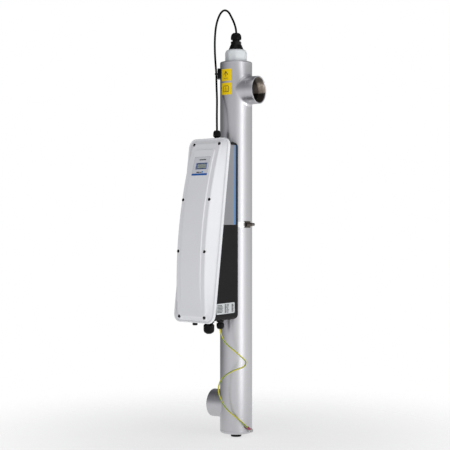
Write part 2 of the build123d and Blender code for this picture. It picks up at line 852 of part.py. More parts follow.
# ================================================================ cover
CROWN_END_U = 198
COVER_END_U = 208
CROWN_STATIONS = (-CROWN_END_U, -150, -100, -50, 0, 50, 100, 150, CROWN_END_U)
PANEL_STATIONS = (PANEL_TOP_U, 140, 90, 40, -10, -60, -110, PANEL_END_U)
LABEL_STATIONS = (167.5, 153, 138, 122.5)


def crown_section(half_w, n):
    """Corners of a cross-section with its flat top at height n, for a cross plane."""
    return [(-SKIRT_HALF_W, -3), (SKIRT_HALF_W, -3), (half_w, -n), (-half_w, -n)]


def cover_solid():
    """The cover's outer shape."""
    panel_back_u = PANEL_TOP_U + 2
    with BuildPart() as solid:
        for u in CROWN_STATIONS:
            with BuildSketch(cross_plane(u)):
                Polygon(*crown_section(CROWN_HALF_W, crown_height(u)), align=None)
        loft()
        # sloping ends
        for side in (-1, 1):
            for u, n, half_w in ((CROWN_END_U, crown_height(CROWN_END_U), CROWN_HALF_W),
                                 (COVER_END_U, 4.4, CROWN_HALF_W - 4)):
                with BuildSketch(cross_plane(side * u)):
                    Polygon(*crown_section(half_w, n), align=None)
            loft(ruled=True)
        with BuildSketch(RIM.offset(2)):
            RectangleRounded(2 * SKIRT_HALF_W, 2 * COVER_END_U, 17)
        extrude(amount=40, mode=Mode.INTERSECT)
        # raised centre panel that fades out towards the bottom
        with BuildSketch(RIM_SIDE):
            with BuildLine():
                top = Spline(*[(u, panel_height(u)) for u in PANEL_STATIONS])
                Polyline(top @ 1, (PANEL_END_U, 6), (panel_back_u, 6),
                         (panel_back_u, crown_height(panel_back_u)), top @ 0)
            make_face()
        extrude(amount=PANEL_HALF_W, both=True)
        # flange round the rim
        with BuildSketch(RIM.offset(-2)):
            RectangleRounded(2 * RIM_HALF_W, 2 * RIM_HALF_L, 20)
        extrude(amount=6)
    return solid.part


COVER_SOLID = cover_solid()


def cover_hollow():
    """The space inside the cover, less the bosses round the screws."""
    inner_l = 2 * 205.2
    top_half_w = CROWN_HALF_W - 2.2
    with BuildPart() as hollow:
        for station in CROWN_STATIONS:
            u = station * 0.995
            n = crown_height(u) - 2.6
            with BuildSketch(cross_plane(u)):
                Polygon((-COVER_INNER_W / 2, 1.0), (COVER_INNER_W / 2, 1.0), (56.2, -1.5),
                        (top_half_w, -n), (-top_half_w, -n), (-56.2, -1.5), align=None)
        loft()
        with BuildSketch(RIM.offset(-1)):
            RectangleRounded(COVER_INNER_W, inner_l, 14)
        extrude(amount=2.8)
        with BuildSketch(RIM.offset(-3)):
            RectangleRounded(COVER_INNER_W, inner_l, 14)
        extrude(amount=60, mode=Mode.INTERSECT)
        for post in POSTS:
            with BuildSketch(RIM.offset(0.6)):
                with Locations(post):
                    Circle(5.4)
            extrude(amount=40, mode=Mode.SUBTRACT)
    return hollow.part


# display frame, lying on the panel and facing out of it
DISPLAY_U = 145.0
PANEL_SLOPE = -2 * DISPLAY_U / CROWN_D + PANEL_H / (PANEL_TOP_U - PANEL_END_U)
DISPLAY_TILT = atan2(-PANEL_SLOPE, 1.0)
DISPLAY = Plane(
    origin=rim_point(1.5, DISPLAY_U, panel_height(DISPLAY_U)), x_dir=(1, 0, 0),
    z_dir=(0, -COS_TILT * cos(DISPLAY_TILT) + SIN_TILT * sin(DISPLAY_TILT),
           SIN_TILT * cos(DISPLAY_TILT) + COS_TILT * sin(DISPLAY_TILT)))
OPENING_W, OPENING_H, OPENING_R = 30.6, 14.2, 0.8


def box_cover():
    with BuildPart() as cover:
        add(COVER_SOLID)
        add(cover_hollow(), mode=Mode.SUBTRACT)
        # recess over the base's rim
        with BuildSketch(RIM.offset(-2.5)):
            with Locations(BASE_MID):
                RectangleRounded(*base_rim(0.3), BASE_RIM_R + 0.3)
        extrude(amount=2.5, mode=Mode.SUBTRACT)
        # gasket groove
        with BuildSketch(RIM):
            with Locations(BASE_MID):
                RectangleRounded(*base_rim(-0.6), BASE_RIM_R - 0.6)
                RectangleRounded(*base_rim(-2.2), BASE_RIM_R - 2.2, mode=Mode.SUBTRACT)
        extrude(amount=1.5, mode=Mode.SUBTRACT)
        # screw pockets and holes
        for post in POSTS:
            with BuildSketch(RIM.offset(3.0)):
                with Locations(post):
                    Circle(3.7)
            extrude(amount=40, mode=Mode.SUBTRACT)
            with BuildSketch(RIM.offset(0)):
                with Locations(post):
                    Circle(2.3)
            extrude(amount=4, mode=Mode.SUBTRACT)
        # display opening
        with BuildSketch(DISPLAY.offset(-8)):
            RectangleRounded(OPENING_W, OPENING_H, OPENING_R)
        extrude(amount=12, mode=Mode.SUBTRACT)
    return cover.part


def cover_gasket():
    with BuildPart() as gasket:
        with BuildSketch(RIM.offset(0.02)):
            with Locations(BASE_MID):
                RectangleRounded(*base_rim(-0.65), 14.3)
                RectangleRounded(*base_rim(-2.15), 12.9, mode=Mode.SUBTRACT)
        extrude(amount=1.46)
    return gasket.part


def cover_screws():
    """Eight identical pan-head screws with cross recesses."""
    slot_l, slot_w = 4.6, 1.0
    with BuildPart() as screws:
        for post in POSTS:
            with BuildSketch(RIM.offset(3.02)):
                with Locations(post):
                    Circle(3.5)
            extrude(amount=2.6)
        tops = screws.faces().filter_by(
            lambda f: abs(f.normal_at().dot(RIM.z_dir) - 1) < 1e-3)
        fillet(tops.edges(), 0.9)
        for post in POSTS:
            with BuildSketch(RIM.offset(4.2)):
                with Locations(post):
                    Rectangle(slot_l, slot_w)
                    Rectangle(slot_w, slot_l)
            extrude(amount=3, mode=Mode.SUBTRACT)
            with BuildSketch(RIM.offset(-14)):
                with Locations(post):
                    Circle(2.0)
            extrude(amount=17.4)
    return screws.part


def timer_label():
    """Label plate on the panel, following its curve."""
    with BuildPart() as label:
        with BuildSketch(RIM_SIDE):
            with BuildLine():
                upper = Spline(*[(u, panel_height(u) + 0.35) for u in LABEL_STATIONS])
                lower = Spline(*[(u, panel_height(u) - 0.6) for u in LABEL_STATIONS])
                Line(upper @ 0, lower @ 0)
                Line(upper @ 1, lower @ 1)
            make_face()
        extrude(amount=25, both=True)
        add(COVER_SOLID, mode=Mode.SUBTRACT)
        with BuildSketch(DISPLAY.offset(-8)):
            RectangleRounded(OPENING_W, OPENING_H, OPENING_R)
        extrude(amount=12, mode=Mode.SUBTRACT)
    return label.part


def display_window():
    with BuildPart() as window:
        with BuildSketch(DISPLAY.offset(-1.7)):
            RectangleRounded(OPENING_W - 0.1, OPENING_H - 0.1, OPENING_R - 0.05)
        extrude(amount=1.8)
    return window.part


def lcd_module():
    with BuildPart() as lcd:
        with BuildSketch(DISPLAY.offset(-4.9)):
            Rectangle(29.6, 13.4)
        extrude(amount=3.1)
    return lcd.part


def timer_board():
    """Board with one square and one round component behind it."""
    board_back, component_h = -6.7, 3.0
    with BuildPart() as board:
        with BuildSketch(DISPLAY.offset(board_back)):
            Rectangle(46, 34)
        extrude(amount=1.6)
        with BuildSketch(DISPLAY.offset(board_back - component_h)):
            with Locations((-12, -10)):
                Rectangle(10, 6)
            with Locations((10, -8)):
                Circle(4.5)
        extrude(amount=component_h)
    return board.part


# ================================================================ inside the box
def ballast():
    """Can on a longer mounting plate."""
    middle = (0, BALLAST_Z - BASE_MID_Z)
    with BuildPart() as unit:
        with BuildSketch(BACK.offset(BACK_INSIDE + 0.05)):
            with Locations(middle):
                RectangleRounded(41, 142, 2)
        extrude(amount=1.6)
        with BuildSketch(BACK.offset(BACK_INSIDE + 1.6)):
            with Locations(middle):
                RectangleRounded(40, BALLAST_CAN_L, 1.5)
        extrude(amount=25)
        with BuildSketch(BACK.offset(BACK_INSIDE)):
            with Locations(*BALLAST_HOLES):
                Circle(2.1)
        extrude(amount=3, mode=Mode.SUBTRACT)
    return unit.part


def ballast_screws():
    with BuildPart() as screws:
        for hole in BALLAST_HOLES:
            with BuildSketch(BACK.offset(BACK_INSIDE + 1.7)):
                with Locations(hole):
                    Circle(3.4)
            extrude(amount=2.2)
            with BuildSketch(BACK.offset(BACK_INSIDE + 0.05)):
                with Locations(hole):
                    Circle(2.0)
            extrude(amount=2.2)
    return screws.part


def terminal_block():
    middle = (0, TERMINAL_Z - BASE_MID_Z)
    with BuildPart() as block:
        with BuildSketch(BACK.offset(BACK_INSIDE + 0.05)):
            with Locations(middle):
                Rectangle(60, TERMINAL_H)
        extrude(amount=17)
        with BuildSketch(BACK.offset(BACK_INSIDE + 11)):
            with Locations(middle):
                with GridLocations(9.6, 12, 6, 2):
                    Circle(2.0)
        extrude(amount=8, mode=Mode.SUBTRACT)
    return block.part


def internal_leads():
    """Three leads from the terminal block up to the ballast."""
    bottom = TERMINAL_Z + TERMINAL_H / 2 + 0.2
    top = BALLAST_Z - BALLAST_CAN_L / 2 - 0.2
    with BuildPart() as leads:
        for x in (-9.0, 0.0, 9.0):
            with BuildSketch(Plane(origin=(x, -56, bottom), z_dir=(0, 0, 1))):
                Circle(1.3)
            sweep(path=bent_path([(x, -56, bottom), (x, -56, 370), (x * 1.3, -58, 420),
                                  (x, -60, 480), (x, -60, top)]))
    return leads.part


# ================================================================ cables
# (x, y, z) corners, from inside the box up and over into the lamp holder
LAMP_CABLE_POINTS = [
    (*BOX_ENTRY, 664), (*BOX_ENTRY, 722), (-1.6, -64.6, 740), (-7.2, -58.4, 764),
    (-17.8, -47.2, 791), (-28.6, -37.0, 815), (-34.3, -32.0, 836), (-34.3, -32.0, 861.6),
    (-36.4, -33.9, 890.6), (-36.9, -34.4, 921.4), (-36.0, -33.6, 947.2),
    (-33.8, -31.5, 967.6), (-29.5, -27.5, 985.6), (-24.8, -23.1, 995.8),
    (-19.6, -18.3, 999.9), (-14.4, -13.4, 996.8), (-9.7, -9.0, 987.9),
    (-5.2, -4.8, 975.4), (-1.7, -1.6, 962.4), (0, 0, 952), (0, 0, 904.2),
]
# (x, y, z) corners, from inside the box down to the ring terminal's barrel
EARTH_WIRE_POINTS = [
    (*EARTH_ENTRY, 292), (*EARTH_ENTRY, 246), (39.4, -92.8, 238), (44.2, -86.8, 223.5),
    (58.4, -71.3, 203.7), (70.8, -54.6, 185.5), (73.9, -47.9, 176.5), (70.0, -46.6, 168.2),
    (54.5, -54.0, 159.0), (34.8, -64.7, 148.2), (17.8, -72.6, 130.4), (10.6, -72.2, 109.0),
    (11.2, -65.0, 86.0), (18.8, -52.4, 62.6), (29.4, -36.6, 45.2), (40.5, -24.5, 31.5),
    LUG_BARREL.origin + LUG.x_dir * 14.0, LUG_BARREL.origin + LUG.x_dir * 3.0,
]


def lamp_cable():
    with BuildPart() as cable:
        with BuildSketch(Plane(origin=LAMP_CABLE_POINTS[0], z_dir=(0, 0, 1))):
            Circle(CABLE_R)
        sweep(path=bent_path(LAMP_CABLE_POINTS))
    return cable.part


def earth_wire():
    with BuildPart() as wire:
        with BuildSketch(Plane(origin=EARTH_WIRE_POINTS[0], z_dir=(0, 0, -1))):
            Circle(EARTH_WIRE_R)
        sweep(path=bent_path(EARTH_WIRE_POINTS))
    return wire.part


def cable_clip():
    """Stick-on mount on the tube, with a channel for the tie."""
    with BuildPart() as clip:
        with BuildSketch(CLIP.offset(-12)):
            with Locations((40, 0)):
                Rectangle(8.3, 22)
        extrude(amount=24)
        fillet(clip.faces().sort_by(Axis(CLIP.origin, CLIP.x_dir))[-1].edges(), 1.6)
        with BuildSketch(CLIP.offset(-20)):
            Circle(TUBE_R)
        extrude(amount=40, mode=Mode.SUBTRACT)
        with BuildSketch(CLIP.offset(-2.1)):
            with Locations((CLIP_TIE_R, 0)):
                SlotCenterToCenter(3.4, 7.6)
                SlotCenterToCenter(3.4, 4.6, mode=Mode.SUBTRACT)
        extrude(amount=4.2, mode=Mode.SUBTRACT)
    return clip.part


def cable_tie():
    """Loop round the lamp cable, its head and its tail."""
    with BuildPart() as tie:
        with BuildSketch(CLIP.offset(-1.8)):
            with Locations((CLIP_TIE_R, 0)):
                SlotCenterToCenter(3.4, 7.2)
                SlotCenterToCenter(3.4, 5.2, mode=Mode.SUBTRACT)
        extrude(amount=3.6)
        with BuildSketch(CLIP.offset(-2.4)):
            with Locations((47.0, 5.3)):
                Rectangle(4.2, 4.4)
        extrude(amount=4.8)
        with BuildSketch(CLIP.offset(-7.5)):
            with Locations((47.0, 6.6)):
                Rectangle(2.6, 1.1)
        extrude(amount=6)
    return tie.part


# ================================================================ stickers
def tube_stickers():
    """Two stickers, one above the other, on the tube's -Y side."""
    angles = (-19.5, 3.0, 25.5)         # start, middle, end
    inner = [around(angle, TUBE_R)[:2] for angle in angles]
    outer = [around(angle, TUBE_R + 0.2)[:2] for angle in angles]
    with BuildPart() as stickers:
        for bottom in (829.0, 796.5):
            with BuildSketch(Plane.XY.offset(bottom)):
                with BuildLine():
                    ThreePointArc(*inner)
                    ThreePointArc(*outer)
                    Line(inner[0], outer[0])
                    Line(inner[-1], outer[-1])
                make_face()
            extrude(amount=28.0)
    return stickers.part


def side_skin(outline):
    """Thin skin over the base's +X side inside an outline given in (y, z)."""
    extra_w = 0.5                       # twice the skin's thickness
    rim_w, rim_l = base_rim(0)
    with BuildPart() as skin:
        with BuildSketch(RIM):
            with Locations(BASE_MID):
                RectangleRounded(rim_w + extra_w, rim_l, BASE_RIM_R)
        with BuildSketch(BACK.offset(52)):
            RectangleRounded(2 * BASE_STEP_HALF_W + extra_w, BASE_H, 12)
        loft(ruled=True)
        add(BASE_SOLID, mode=Mode.SUBTRACT)
        with BuildSketch(Plane(origin=(30, 0, 0), x_dir=(0, 1, 0), z_dir=(1, 0, 0))):
            shape = Polygon(*outline, align=None)
            fillet(shape.vertices(), 3)
        extrude(amount=60, mode=Mode.INTERSECT)
    return skin.part


def beside_rim(z):
    """Outline point 5 mm behind the rim at a height."""
    return (RIM_Y + (z - RIM_Z) * SIN_TILT / COS_TILT + 5, z)


def side_label():
    top, bottom, back_y = 675.0, 491.5, -56.5
    return side_skin([beside_rim(top), (back_y, top), (back_y, bottom), beside_rim(bottom)])


def rating_label():
    return side_skin([(-131.5, 312.6), (-61.0, 313.4), (-61.0, 289.2), (-131.5, 288.2)])


# ================================================================ files
def save(name, part):
    part.label = name
    export_step(part, f"parts/{name}.step")


# each of these functions is named after the piece it builds
PIECES = (
    reactor_tube, top_end_plate, bottom_end_plate, drain_plug,
    earth_boss, earth_screw, earth_washer, ring_terminal,
    quartz_sleeve, thrust_washer, uv_lamp, lamp_bases, lamp_pins, lamp_socket,
    lamp_nut, lamp_holder,
    mains_gland_blank, mains_gland_locknut, small_gland_locknuts, blanking_plug,
    clamp_band, clamp_housing, clamp_screw,
    box_base, mounting_saddle, saddle_screws,
    box_cover, cover_gasket, cover_screws,
    timer_label, display_window, lcd_module, timer_board,
    ballast, ballast_screws, terminal_block, internal_leads,
    lamp_cable, earth_wire, cable_clip, cable_tie,
    tube_stickers, side_label, rating_label,
)

os.makedirs("parts", exist_ok=True)
for build in PIECES:
    save(build.__name__, build())
save("upper_port_socket", port_socket(UPPER_PORT))
save("lower_port_socket", port_socket(LOWER_PORT))
save("drain_o_ring", o_ring(ring_r=11.95, z=-1.25, cord_r=1.24))
save("sleeve_o_ring", o_ring(ring_r=13.23, z=NECK_TOP - 1.7, cord_r=1.68))
for tag, gland in GLANDS.items():
    save(f"{tag}_gland_body", gland_body(gland))
    save(f"{tag}_gland_seal", gland_seal(gland))
    save(f"{tag}_gland_nut", gland_nut(gland))
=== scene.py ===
import bpy
import bmesh
import math
import numpy as np
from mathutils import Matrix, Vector
from mathutils.bvhtree import BVHTree


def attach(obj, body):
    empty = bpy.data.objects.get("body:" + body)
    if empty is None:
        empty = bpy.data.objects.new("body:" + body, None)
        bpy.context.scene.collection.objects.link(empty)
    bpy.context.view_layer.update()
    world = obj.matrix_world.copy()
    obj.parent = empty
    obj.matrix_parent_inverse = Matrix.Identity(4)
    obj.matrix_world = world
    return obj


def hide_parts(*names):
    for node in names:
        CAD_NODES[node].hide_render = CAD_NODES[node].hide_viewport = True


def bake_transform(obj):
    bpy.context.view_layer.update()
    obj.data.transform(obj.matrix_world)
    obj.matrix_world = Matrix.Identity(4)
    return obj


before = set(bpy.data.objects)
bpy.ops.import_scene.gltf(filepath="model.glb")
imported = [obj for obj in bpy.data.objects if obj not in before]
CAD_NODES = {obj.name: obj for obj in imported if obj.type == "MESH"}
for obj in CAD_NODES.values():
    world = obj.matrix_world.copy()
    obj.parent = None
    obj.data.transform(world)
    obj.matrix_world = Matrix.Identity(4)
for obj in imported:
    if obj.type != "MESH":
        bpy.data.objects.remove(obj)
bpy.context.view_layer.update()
MM = 0.001
rad = math.radians

# ---------------------------------------------------------------- shared sizes (mm)
# The box's rim plane: a point on it, and its tilt away from the vertical.
RIM_Y, RIM_Z = -115.0, 479.5
TILT = math.atan2(54.0, 423.0)
COS_TILT, SIN_TILT = math.cos(TILT), math.sin(TILT)
BOX_TOP_Z, BOX_BOTTOM_Z = 683.0, 273.0
RIM_TOP = (BOX_TOP_Z - RIM_Z) / COS_TILT
RIM_BOTTOM = (BOX_BOTTOM_Z - RIM_Z) / COS_TILT

# Cover: an arched face that carries a raised panel.
FACE_OUT = 32.0
FACE_ARCH = 1884.0              # divides up squared to give the fall of the arch
PANEL_HALF_WIDTH, PANEL_CORNER = 31.0, 6.0
PANEL_START, PANEL_TOP = -150.0, 184.0
PANEL_LENGTH = PANEL_TOP - PANEL_START
PANEL_RISE = 2.2
# Screw posts of the cover as (x, up), in pairs either side.
POSTS = [(side * x, up)
         for x, up in ((39.7, 197.7), (41.5, 66.3), (41.5, -52.8), (39.7, -200.6))
         for side in (-1, 1)]

DISPLAY_X, DISPLAY_UP = 1.5, 145.0
DISPLAY_SLOPE = math.atan(-2 * DISPLAY_UP / FACE_ARCH + PANEL_RISE / PANEL_LENGTH)
OPENING_HALF_WIDTH, OPENING_HALF_HEIGHT = 15.3, 7.1
LABEL_LOW, LABEL_HIGH = 122.5, 167.5

PORT_ANGLE = rad(10.0)
PORTS = (("upper", 1, 807.5), ("lower", -1, 66.0))      # name, side along X, height of the axis
EARTH_BEARING = 95.0
BAND_Z = 492.2
VIEW_BEARING = 43.0


# ---------------------------------------------------------------- frames
def rim(x, up, out):
    """A point from the box's rim plane: up along the plane, out away from the tube."""
    return (x, RIM_Y + up * SIN_TILT - out * COS_TILT, RIM_Z + up * COS_TILT + out * SIN_TILT)


def face_out(up):
    return FACE_OUT - up * up / FACE_ARCH


def panel_rise(up):
    return float(PANEL_RISE * np.clip((up - PANEL_START) / PANEL_LENGTH, 0.0, 1.0))


def panel_out(up):
    return face_out(up) + panel_rise(up)


def display_point(x, along, height):
    """A point in the display's own frame, which follows the slope of the panel."""
    cos, sin = math.cos(DISPLAY_SLOPE), math.sin(DISPLAY_SLOPE)
    up = DISPLAY_UP + along * cos - height * sin
    return rim(DISPLAY_X + x, up, panel_out(DISPLAY_UP) + along * sin + height * cos)


def around(bearing, radius, z):
    """A point round the Z axis; the bearing runs from -Y towards +X, in degrees."""
    angle = rad(bearing)
    return (radius * math.sin(angle), -radius * math.cos(angle), z)


def port_axis(side):
    return (side * math.cos(PORT_ANGLE), side * math.sin(PORT_ANGLE), 0)


# ---------------------------------------------------------------- shader helpers
MATERIALS = {}


def feed(tree, target, inputs):
    """Fill a node's inputs: a socket is linked, any other value is set."""
    for key, value in inputs.items():
        if isinstance(value, bpy.types.NodeSocket):
            tree.links.new(value, target.inputs[key])
        else:
            target.inputs[key].default_value = value


def add(tree, kind, inputs=None, out=0, **settings):
    """Add a shader node and return one of its outputs."""
    made = tree.nodes.new("ShaderNode" + kind)
    for key, value in settings.items():
        setattr(made, key, value)
    feed(tree, made, inputs or {})
    return made.outputs[out]


def new_material(name):
    material = bpy.data.materials.new(name)
    material.use_nodes = True
    MATERIALS[name] = material
    tree = material.node_tree
    return tree, next(n for n in tree.nodes if n.type == "BSDF_PRINCIPLED")


def object_coords(tree, scale=(1, 1, 1)):
    place = add(tree, "TexCoord", out="Object")
    return add(tree, "Mapping", {"Scale": scale, "Vector": place})


def noise(tree, place, scale, detail=4.0, roughness=0.55):
    return add(tree, "TexNoise", {"Scale": scale, "Detail": detail, "Roughness": roughness,
                                  "Vector": place}, out="Fac")


def colour_ramp(tree, value, stops):
    """Stops are (position, rgb), in rising order."""
    colour = add(tree, "ValToRGB", {"Fac": value})
    elements = colour.node.color_ramp.elements
    for element, (position, rgb) in zip(elements, (stops[0], stops[-1])):
        element.position = position
        element.color = (*rgb, 1)
    for position, rgb in stops[1:-1]:
        elements.new(position).color = (*rgb, 1)
    return colour


def mottle(tree, value, low, high):
    return colour_ramp(tree, value, [(0.35, low), (0.65, high)])


def drift(tree, value, colour, spread):
    """Let a colour wander by a fraction either way."""
    return mottle(tree, value, tuple(c * (1 - spread) for c in colour),
                  tuple(min(1.0, c * (1 + spread)) for c in colour))


def map_range(tree, value, source=(0.0, 1.0), target=(0.0, 1.0), shape="LINEAR"):
    return add(tree, "MapRange", {"From Min": source[0], "From Max": source[1],
                                  "To Min": target[0], "To Max": target[1], "Value": value},
               interpolation_type=shape)


def add_bump(tree, bsdf, height, strength, distance):
    normal = add(tree, "Bump", {"Strength": strength, "Distance": distance, "Height": height})
    feed(tree, bsdf, {"Normal": normal})


# ---------------------------------------------------------------- kinds of material
def plastic(name, colour, roughness, grain, bump, depth, spread, specular):
    """Moulded plastic: fine grain, slow colour drift, roughness that varies."""
    tree, bsdf = new_material(name)
    place = object_coords(tree)
    slow = noise(tree, place, scale=9.0, detail=3.0)
    tone = drift(tree, slow, colour, spread)
    fine = noise(tree, place, scale=grain, detail=3.0, roughness=0.6)
    patches = noise(tree, place, scale=60.0)
    feed(tree, bsdf, {
        "Base Color": tone,
        "Roughness": map_range(tree, patches, target=(roughness - 0.05, roughness + 0.07)),
        "Specular IOR Level": specular,
        "Coat Roughness": 0.2})
    add_bump(tree, bsdf, fine, bump, depth)


def metal(name, colour, roughness, stretch, bump, spread, metallic):
    """Brushed or ground metal: a fine scratch field over slow cloudiness."""
    tree, bsdf = new_material(name)
    scratch = noise(tree, object_coords(tree, stretch), scale=1.0, detail=6.0, roughness=0.65)
    cloud = noise(tree, object_coords(tree), scale=14.0, detail=3.0)
    tone = drift(tree, cloud, colour, spread)
    scratch_part = map_range(tree, scratch, target=(-0.05, 0.06))
    cloud_part = map_range(tree, cloud, target=(roughness - 0.03, roughness + 0.04))
    feed(tree, bsdf, {
        "Base Color": tone,
        "Metallic": metallic,
        "Roughness": add(tree, "Math", {0: scratch_part, 1: cloud_part}, operation="ADD")})
    add_bump(tree, bsdf, scratch, bump, 0.00005)
    return tree, bsdf


def glass(name, colour, roughness, ior):
    tree, bsdf = new_material(name)
    place = object_coords(tree)
    tone = mottle(tree, noise(tree, place, scale=25.0), tuple(c * 0.97 for c in colour), colour)
    smear = noise(tree, place, scale=220.0)
    feed(tree, bsdf, {
        "Base Color": tone,
        "Roughness": map_range(tree, smear, target=(roughness * 0.6, roughness * 1.6)),
        "Transmission Weight": 1.0,
        "IOR": ior})


def bore_metal(name, axis_z):
    """Warm machined bore, with painted shade: darker in its lower half and under its crown."""
    middle = axis_z * MM - 0.001
    tree, bsdf = metal(name, colour=(0.475, 0.405, 0.340), roughness=0.38,
                       stretch=(500, 500, 2500), bump=0.20, spread=0.26, metallic=0.80)
    tone = bsdf.inputs["Base Color"].links[0].from_socket
    place = add(tree, "TexCoord", out="Object")
    z = add(tree, "SeparateXYZ", {0: place}, out="Z")
    wobble = noise(tree, object_coords(tree), scale=60.0)
    height = add(tree, "Math", {0: wobble, 1: 0.004, 2: z}, operation="MULTIPLY_ADD")
    # painted shade: the bore's colour falls to a tenth below its axis and to 0.3 towards its crown
    lower_half_shade = map_range(tree, height, source=(middle - 0.0035, middle + 0.0005),
                         target=(0.10, 1.0), shape="SMOOTHSTEP")
    crown = map_range(tree, height, source=(middle + 0.013, middle + 0.026),
                      target=(1.0, 0.30), shape="SMOOTHSTEP")
    shade = add(tree, "Math", {0: lower_half_shade, 1: crown}, operation="MULTIPLY")
    shaded = add(tree, "VectorMath", {0: tone, "Scale": shade}, operation="SCALE")
    feed(tree, bsdf, {"Base Color": shaded})


def striped_wire(name):
    """Green and yellow insulation, slowly twisting; U runs round the wire, V along it."""
    green, yellow = (0.13, 0.27, 0.015), (0.66, 0.58, 0.012)
    tree, bsdf = new_material(name)
    coords = add(tree, "SeparateXYZ", {0: add(tree, "UVMap", uv_map="UVMap")}).node.outputs
    twist = add(tree, "Math", {0: coords["Y"], 1: 7.0, 2: coords["X"]},
                operation="MULTIPLY_ADD")
    paired = add(tree, "Math", {0: twist, 1: 2.0}, operation="MULTIPLY")
    phase = add(tree, "Math", {0: paired}, operation="FRACT")
    stripe = colour_ramp(tree, phase, [(0.55, yellow), (0.59, green), (0.97, green),
                                       (1.0, (0.62, 0.56, 0.012))])
    place = object_coords(tree)
    patches = noise(tree, place, scale=90.0)
    feed(tree, bsdf, {"Base Color": stripe,
                      "Roughness": map_range(tree, patches, target=(0.28, 0.42))})
    add_bump(tree, bsdf, noise(tree, place, scale=900.0), 0.1, 0.0001)


# ---------------------------------------------------------------- material tables
# name, colour, roughness, scratch scale on x y z, bump strength, colour spread, metallic
METALS = [
    ("satin_stainless", (0.565, 0.565, 0.585), 0.34, (45, 45, 2400), 0.05, 0.02, 1.0),
    ("clamp_housing", (0.105, 0.088, 0.076), 0.34, (700, 700, 700), 0.10, 0.10, 1.0),
    ("clamp_bolt", (0.20, 0.19, 0.18), 0.26, (800, 800, 800), 0.10, 0.10, 1.0),
    ("band_stainless", (0.80, 0.80, 0.80), 0.22, (700, 700, 60), 0.04, 0.04, 1.0),
    ("zinc_screw", (0.50, 0.50, 0.49), 0.30, (800, 800, 800), 0.10, 0.10, 1.0),
    ("blackened_screw", (0.016, 0.016, 0.018), 0.42, (900, 900, 900), 0.20, 0.20, 0.3),
    ("brass_pin", (0.72, 0.53, 0.25), 0.25, (900, 900, 900), 0.08, 0.08, 1.0),
    ("tinned_copper", (0.70, 0.69, 0.67), 0.22, (900, 900, 900), 0.10, 0.08, 1.0),
]
# name, colour, roughness, grain scale, bump strength, bump distance, colour spread, specular
PLASTICS = [
    ("lcd_digit", (0.27, 0.29, 0.27), 0.40, 900, 0.05, 0.00003, 0.05, 0.50),
    ("cover_grey", (0.85, 0.857, 0.875), 0.46, 1500, 0.10, 0.00012, 0.012, 0.35),
    ("base_black", (0.0042, 0.0040, 0.0044), 0.50, 650, 0.32, 0.0003, 0.25, 0.16),
    ("nut_white", (0.68, 0.71, 0.722), 0.34, 700, 0.06, 0.0001, 0.02, 0.50),
    ("gland_nylon", (0.0018, 0.0018, 0.0020), 0.20, 500, 0.08, 0.0001, 0.20, 0.13),
    ("seal_rubber", (0.008, 0.008, 0.008), 0.65, 1400, 0.30, 0.00015, 0.12, 0.40),
    ("cable_sheath", (0.0018, 0.0018, 0.0020), 0.48, 800, 0.05, 0.00005, 0.20, 0.06),
    ("lamp_ceramic", (0.74, 0.73, 0.69), 0.35, 600, 0.08, 0.0001, 0.03, 0.50),
    ("board_green", (0.015, 0.11, 0.045), 0.35, 1800, 0.20, 0.0001, 0.20, 0.50),
    ("ballast_white", (0.66, 0.66, 0.65), 0.38, 500, 0.08, 0.0001, 0.03, 0.50),
    ("sticker_yellow", (0.86, 0.60, 0.0), 0.42, 260, 0.05, 0.0001, 0.02, 0.20),
    ("print_dark", (0.014, 0.013, 0.011), 0.40, 900, 0.08, 0.00005, 0.20, 0.50),
    ("print_grey", (0.045, 0.047, 0.050), 0.40, 900, 0.08, 0.00005, 0.20, 0.50),
    ("film_grey", (0.265, 0.27, 0.29), 0.42, 1300, 0.10, 0.00006, 0.03, 0.40),
    ("film_plate", (0.70, 0.71, 0.74), 0.40, 1300, 0.10, 0.00006, 0.02, 0.45),
    ("film_white", (0.62, 0.65, 0.66), 0.36, 1300, 0.08, 0.00006, 0.02, 0.45),
    ("print_blue", (0.018, 0.250, 0.66), 0.36, 900, 0.06, 0.00005, 0.05, 0.50),
    ("print_blue_deep", (0.006, 0.105, 0.42), 0.36, 900, 0.06, 0.00005, 0.06, 0.50),
    ("lcd_frame", (0.10, 0.16, 0.42), 0.32, 900, 0.06, 0.00005, 0.08, 0.50),
    ("lcd_grey_green", (0.84, 0.87, 0.82), 0.25, 1500, 0.05, 0.00003, 0.03, 0.50),
    ("lug_sleeve", (0.36, 0.035, 0.09), 0.35, 600, 0.10, 0.0001, 0.10, 0.50),
]
# name, colour, roughness, index of refraction
GLASSES = [
    ("quartz", (0.93, 0.97, 1.0), 0.02, 1.46),
    ("lamp_glass", (0.88, 0.94, 1.0), 0.04, 1.46),
    ("clear_window", (0.92, 0.95, 0.92), 0.03, 1.49),
]


def build_materials():
    for row in METALS:
        metal(*row)
    for row in PLASTICS:
        plastic(*row)
    for row in GLASSES:
        glass(*row)
    for name, side, axis_z in PORTS:
        bore_metal(f"port_bore_{name}", axis_z)
    striped_wire("earth_stripe")
    # the white nut lets a little light through
    tree = MATERIALS["nut_white"].node_tree
    feed(tree, tree.nodes["Principled BSDF"], {
        "Subsurface Weight": 0.15,
        "Subsurface Radius": (0.004, 0.004, 0.004)})


build_materials()

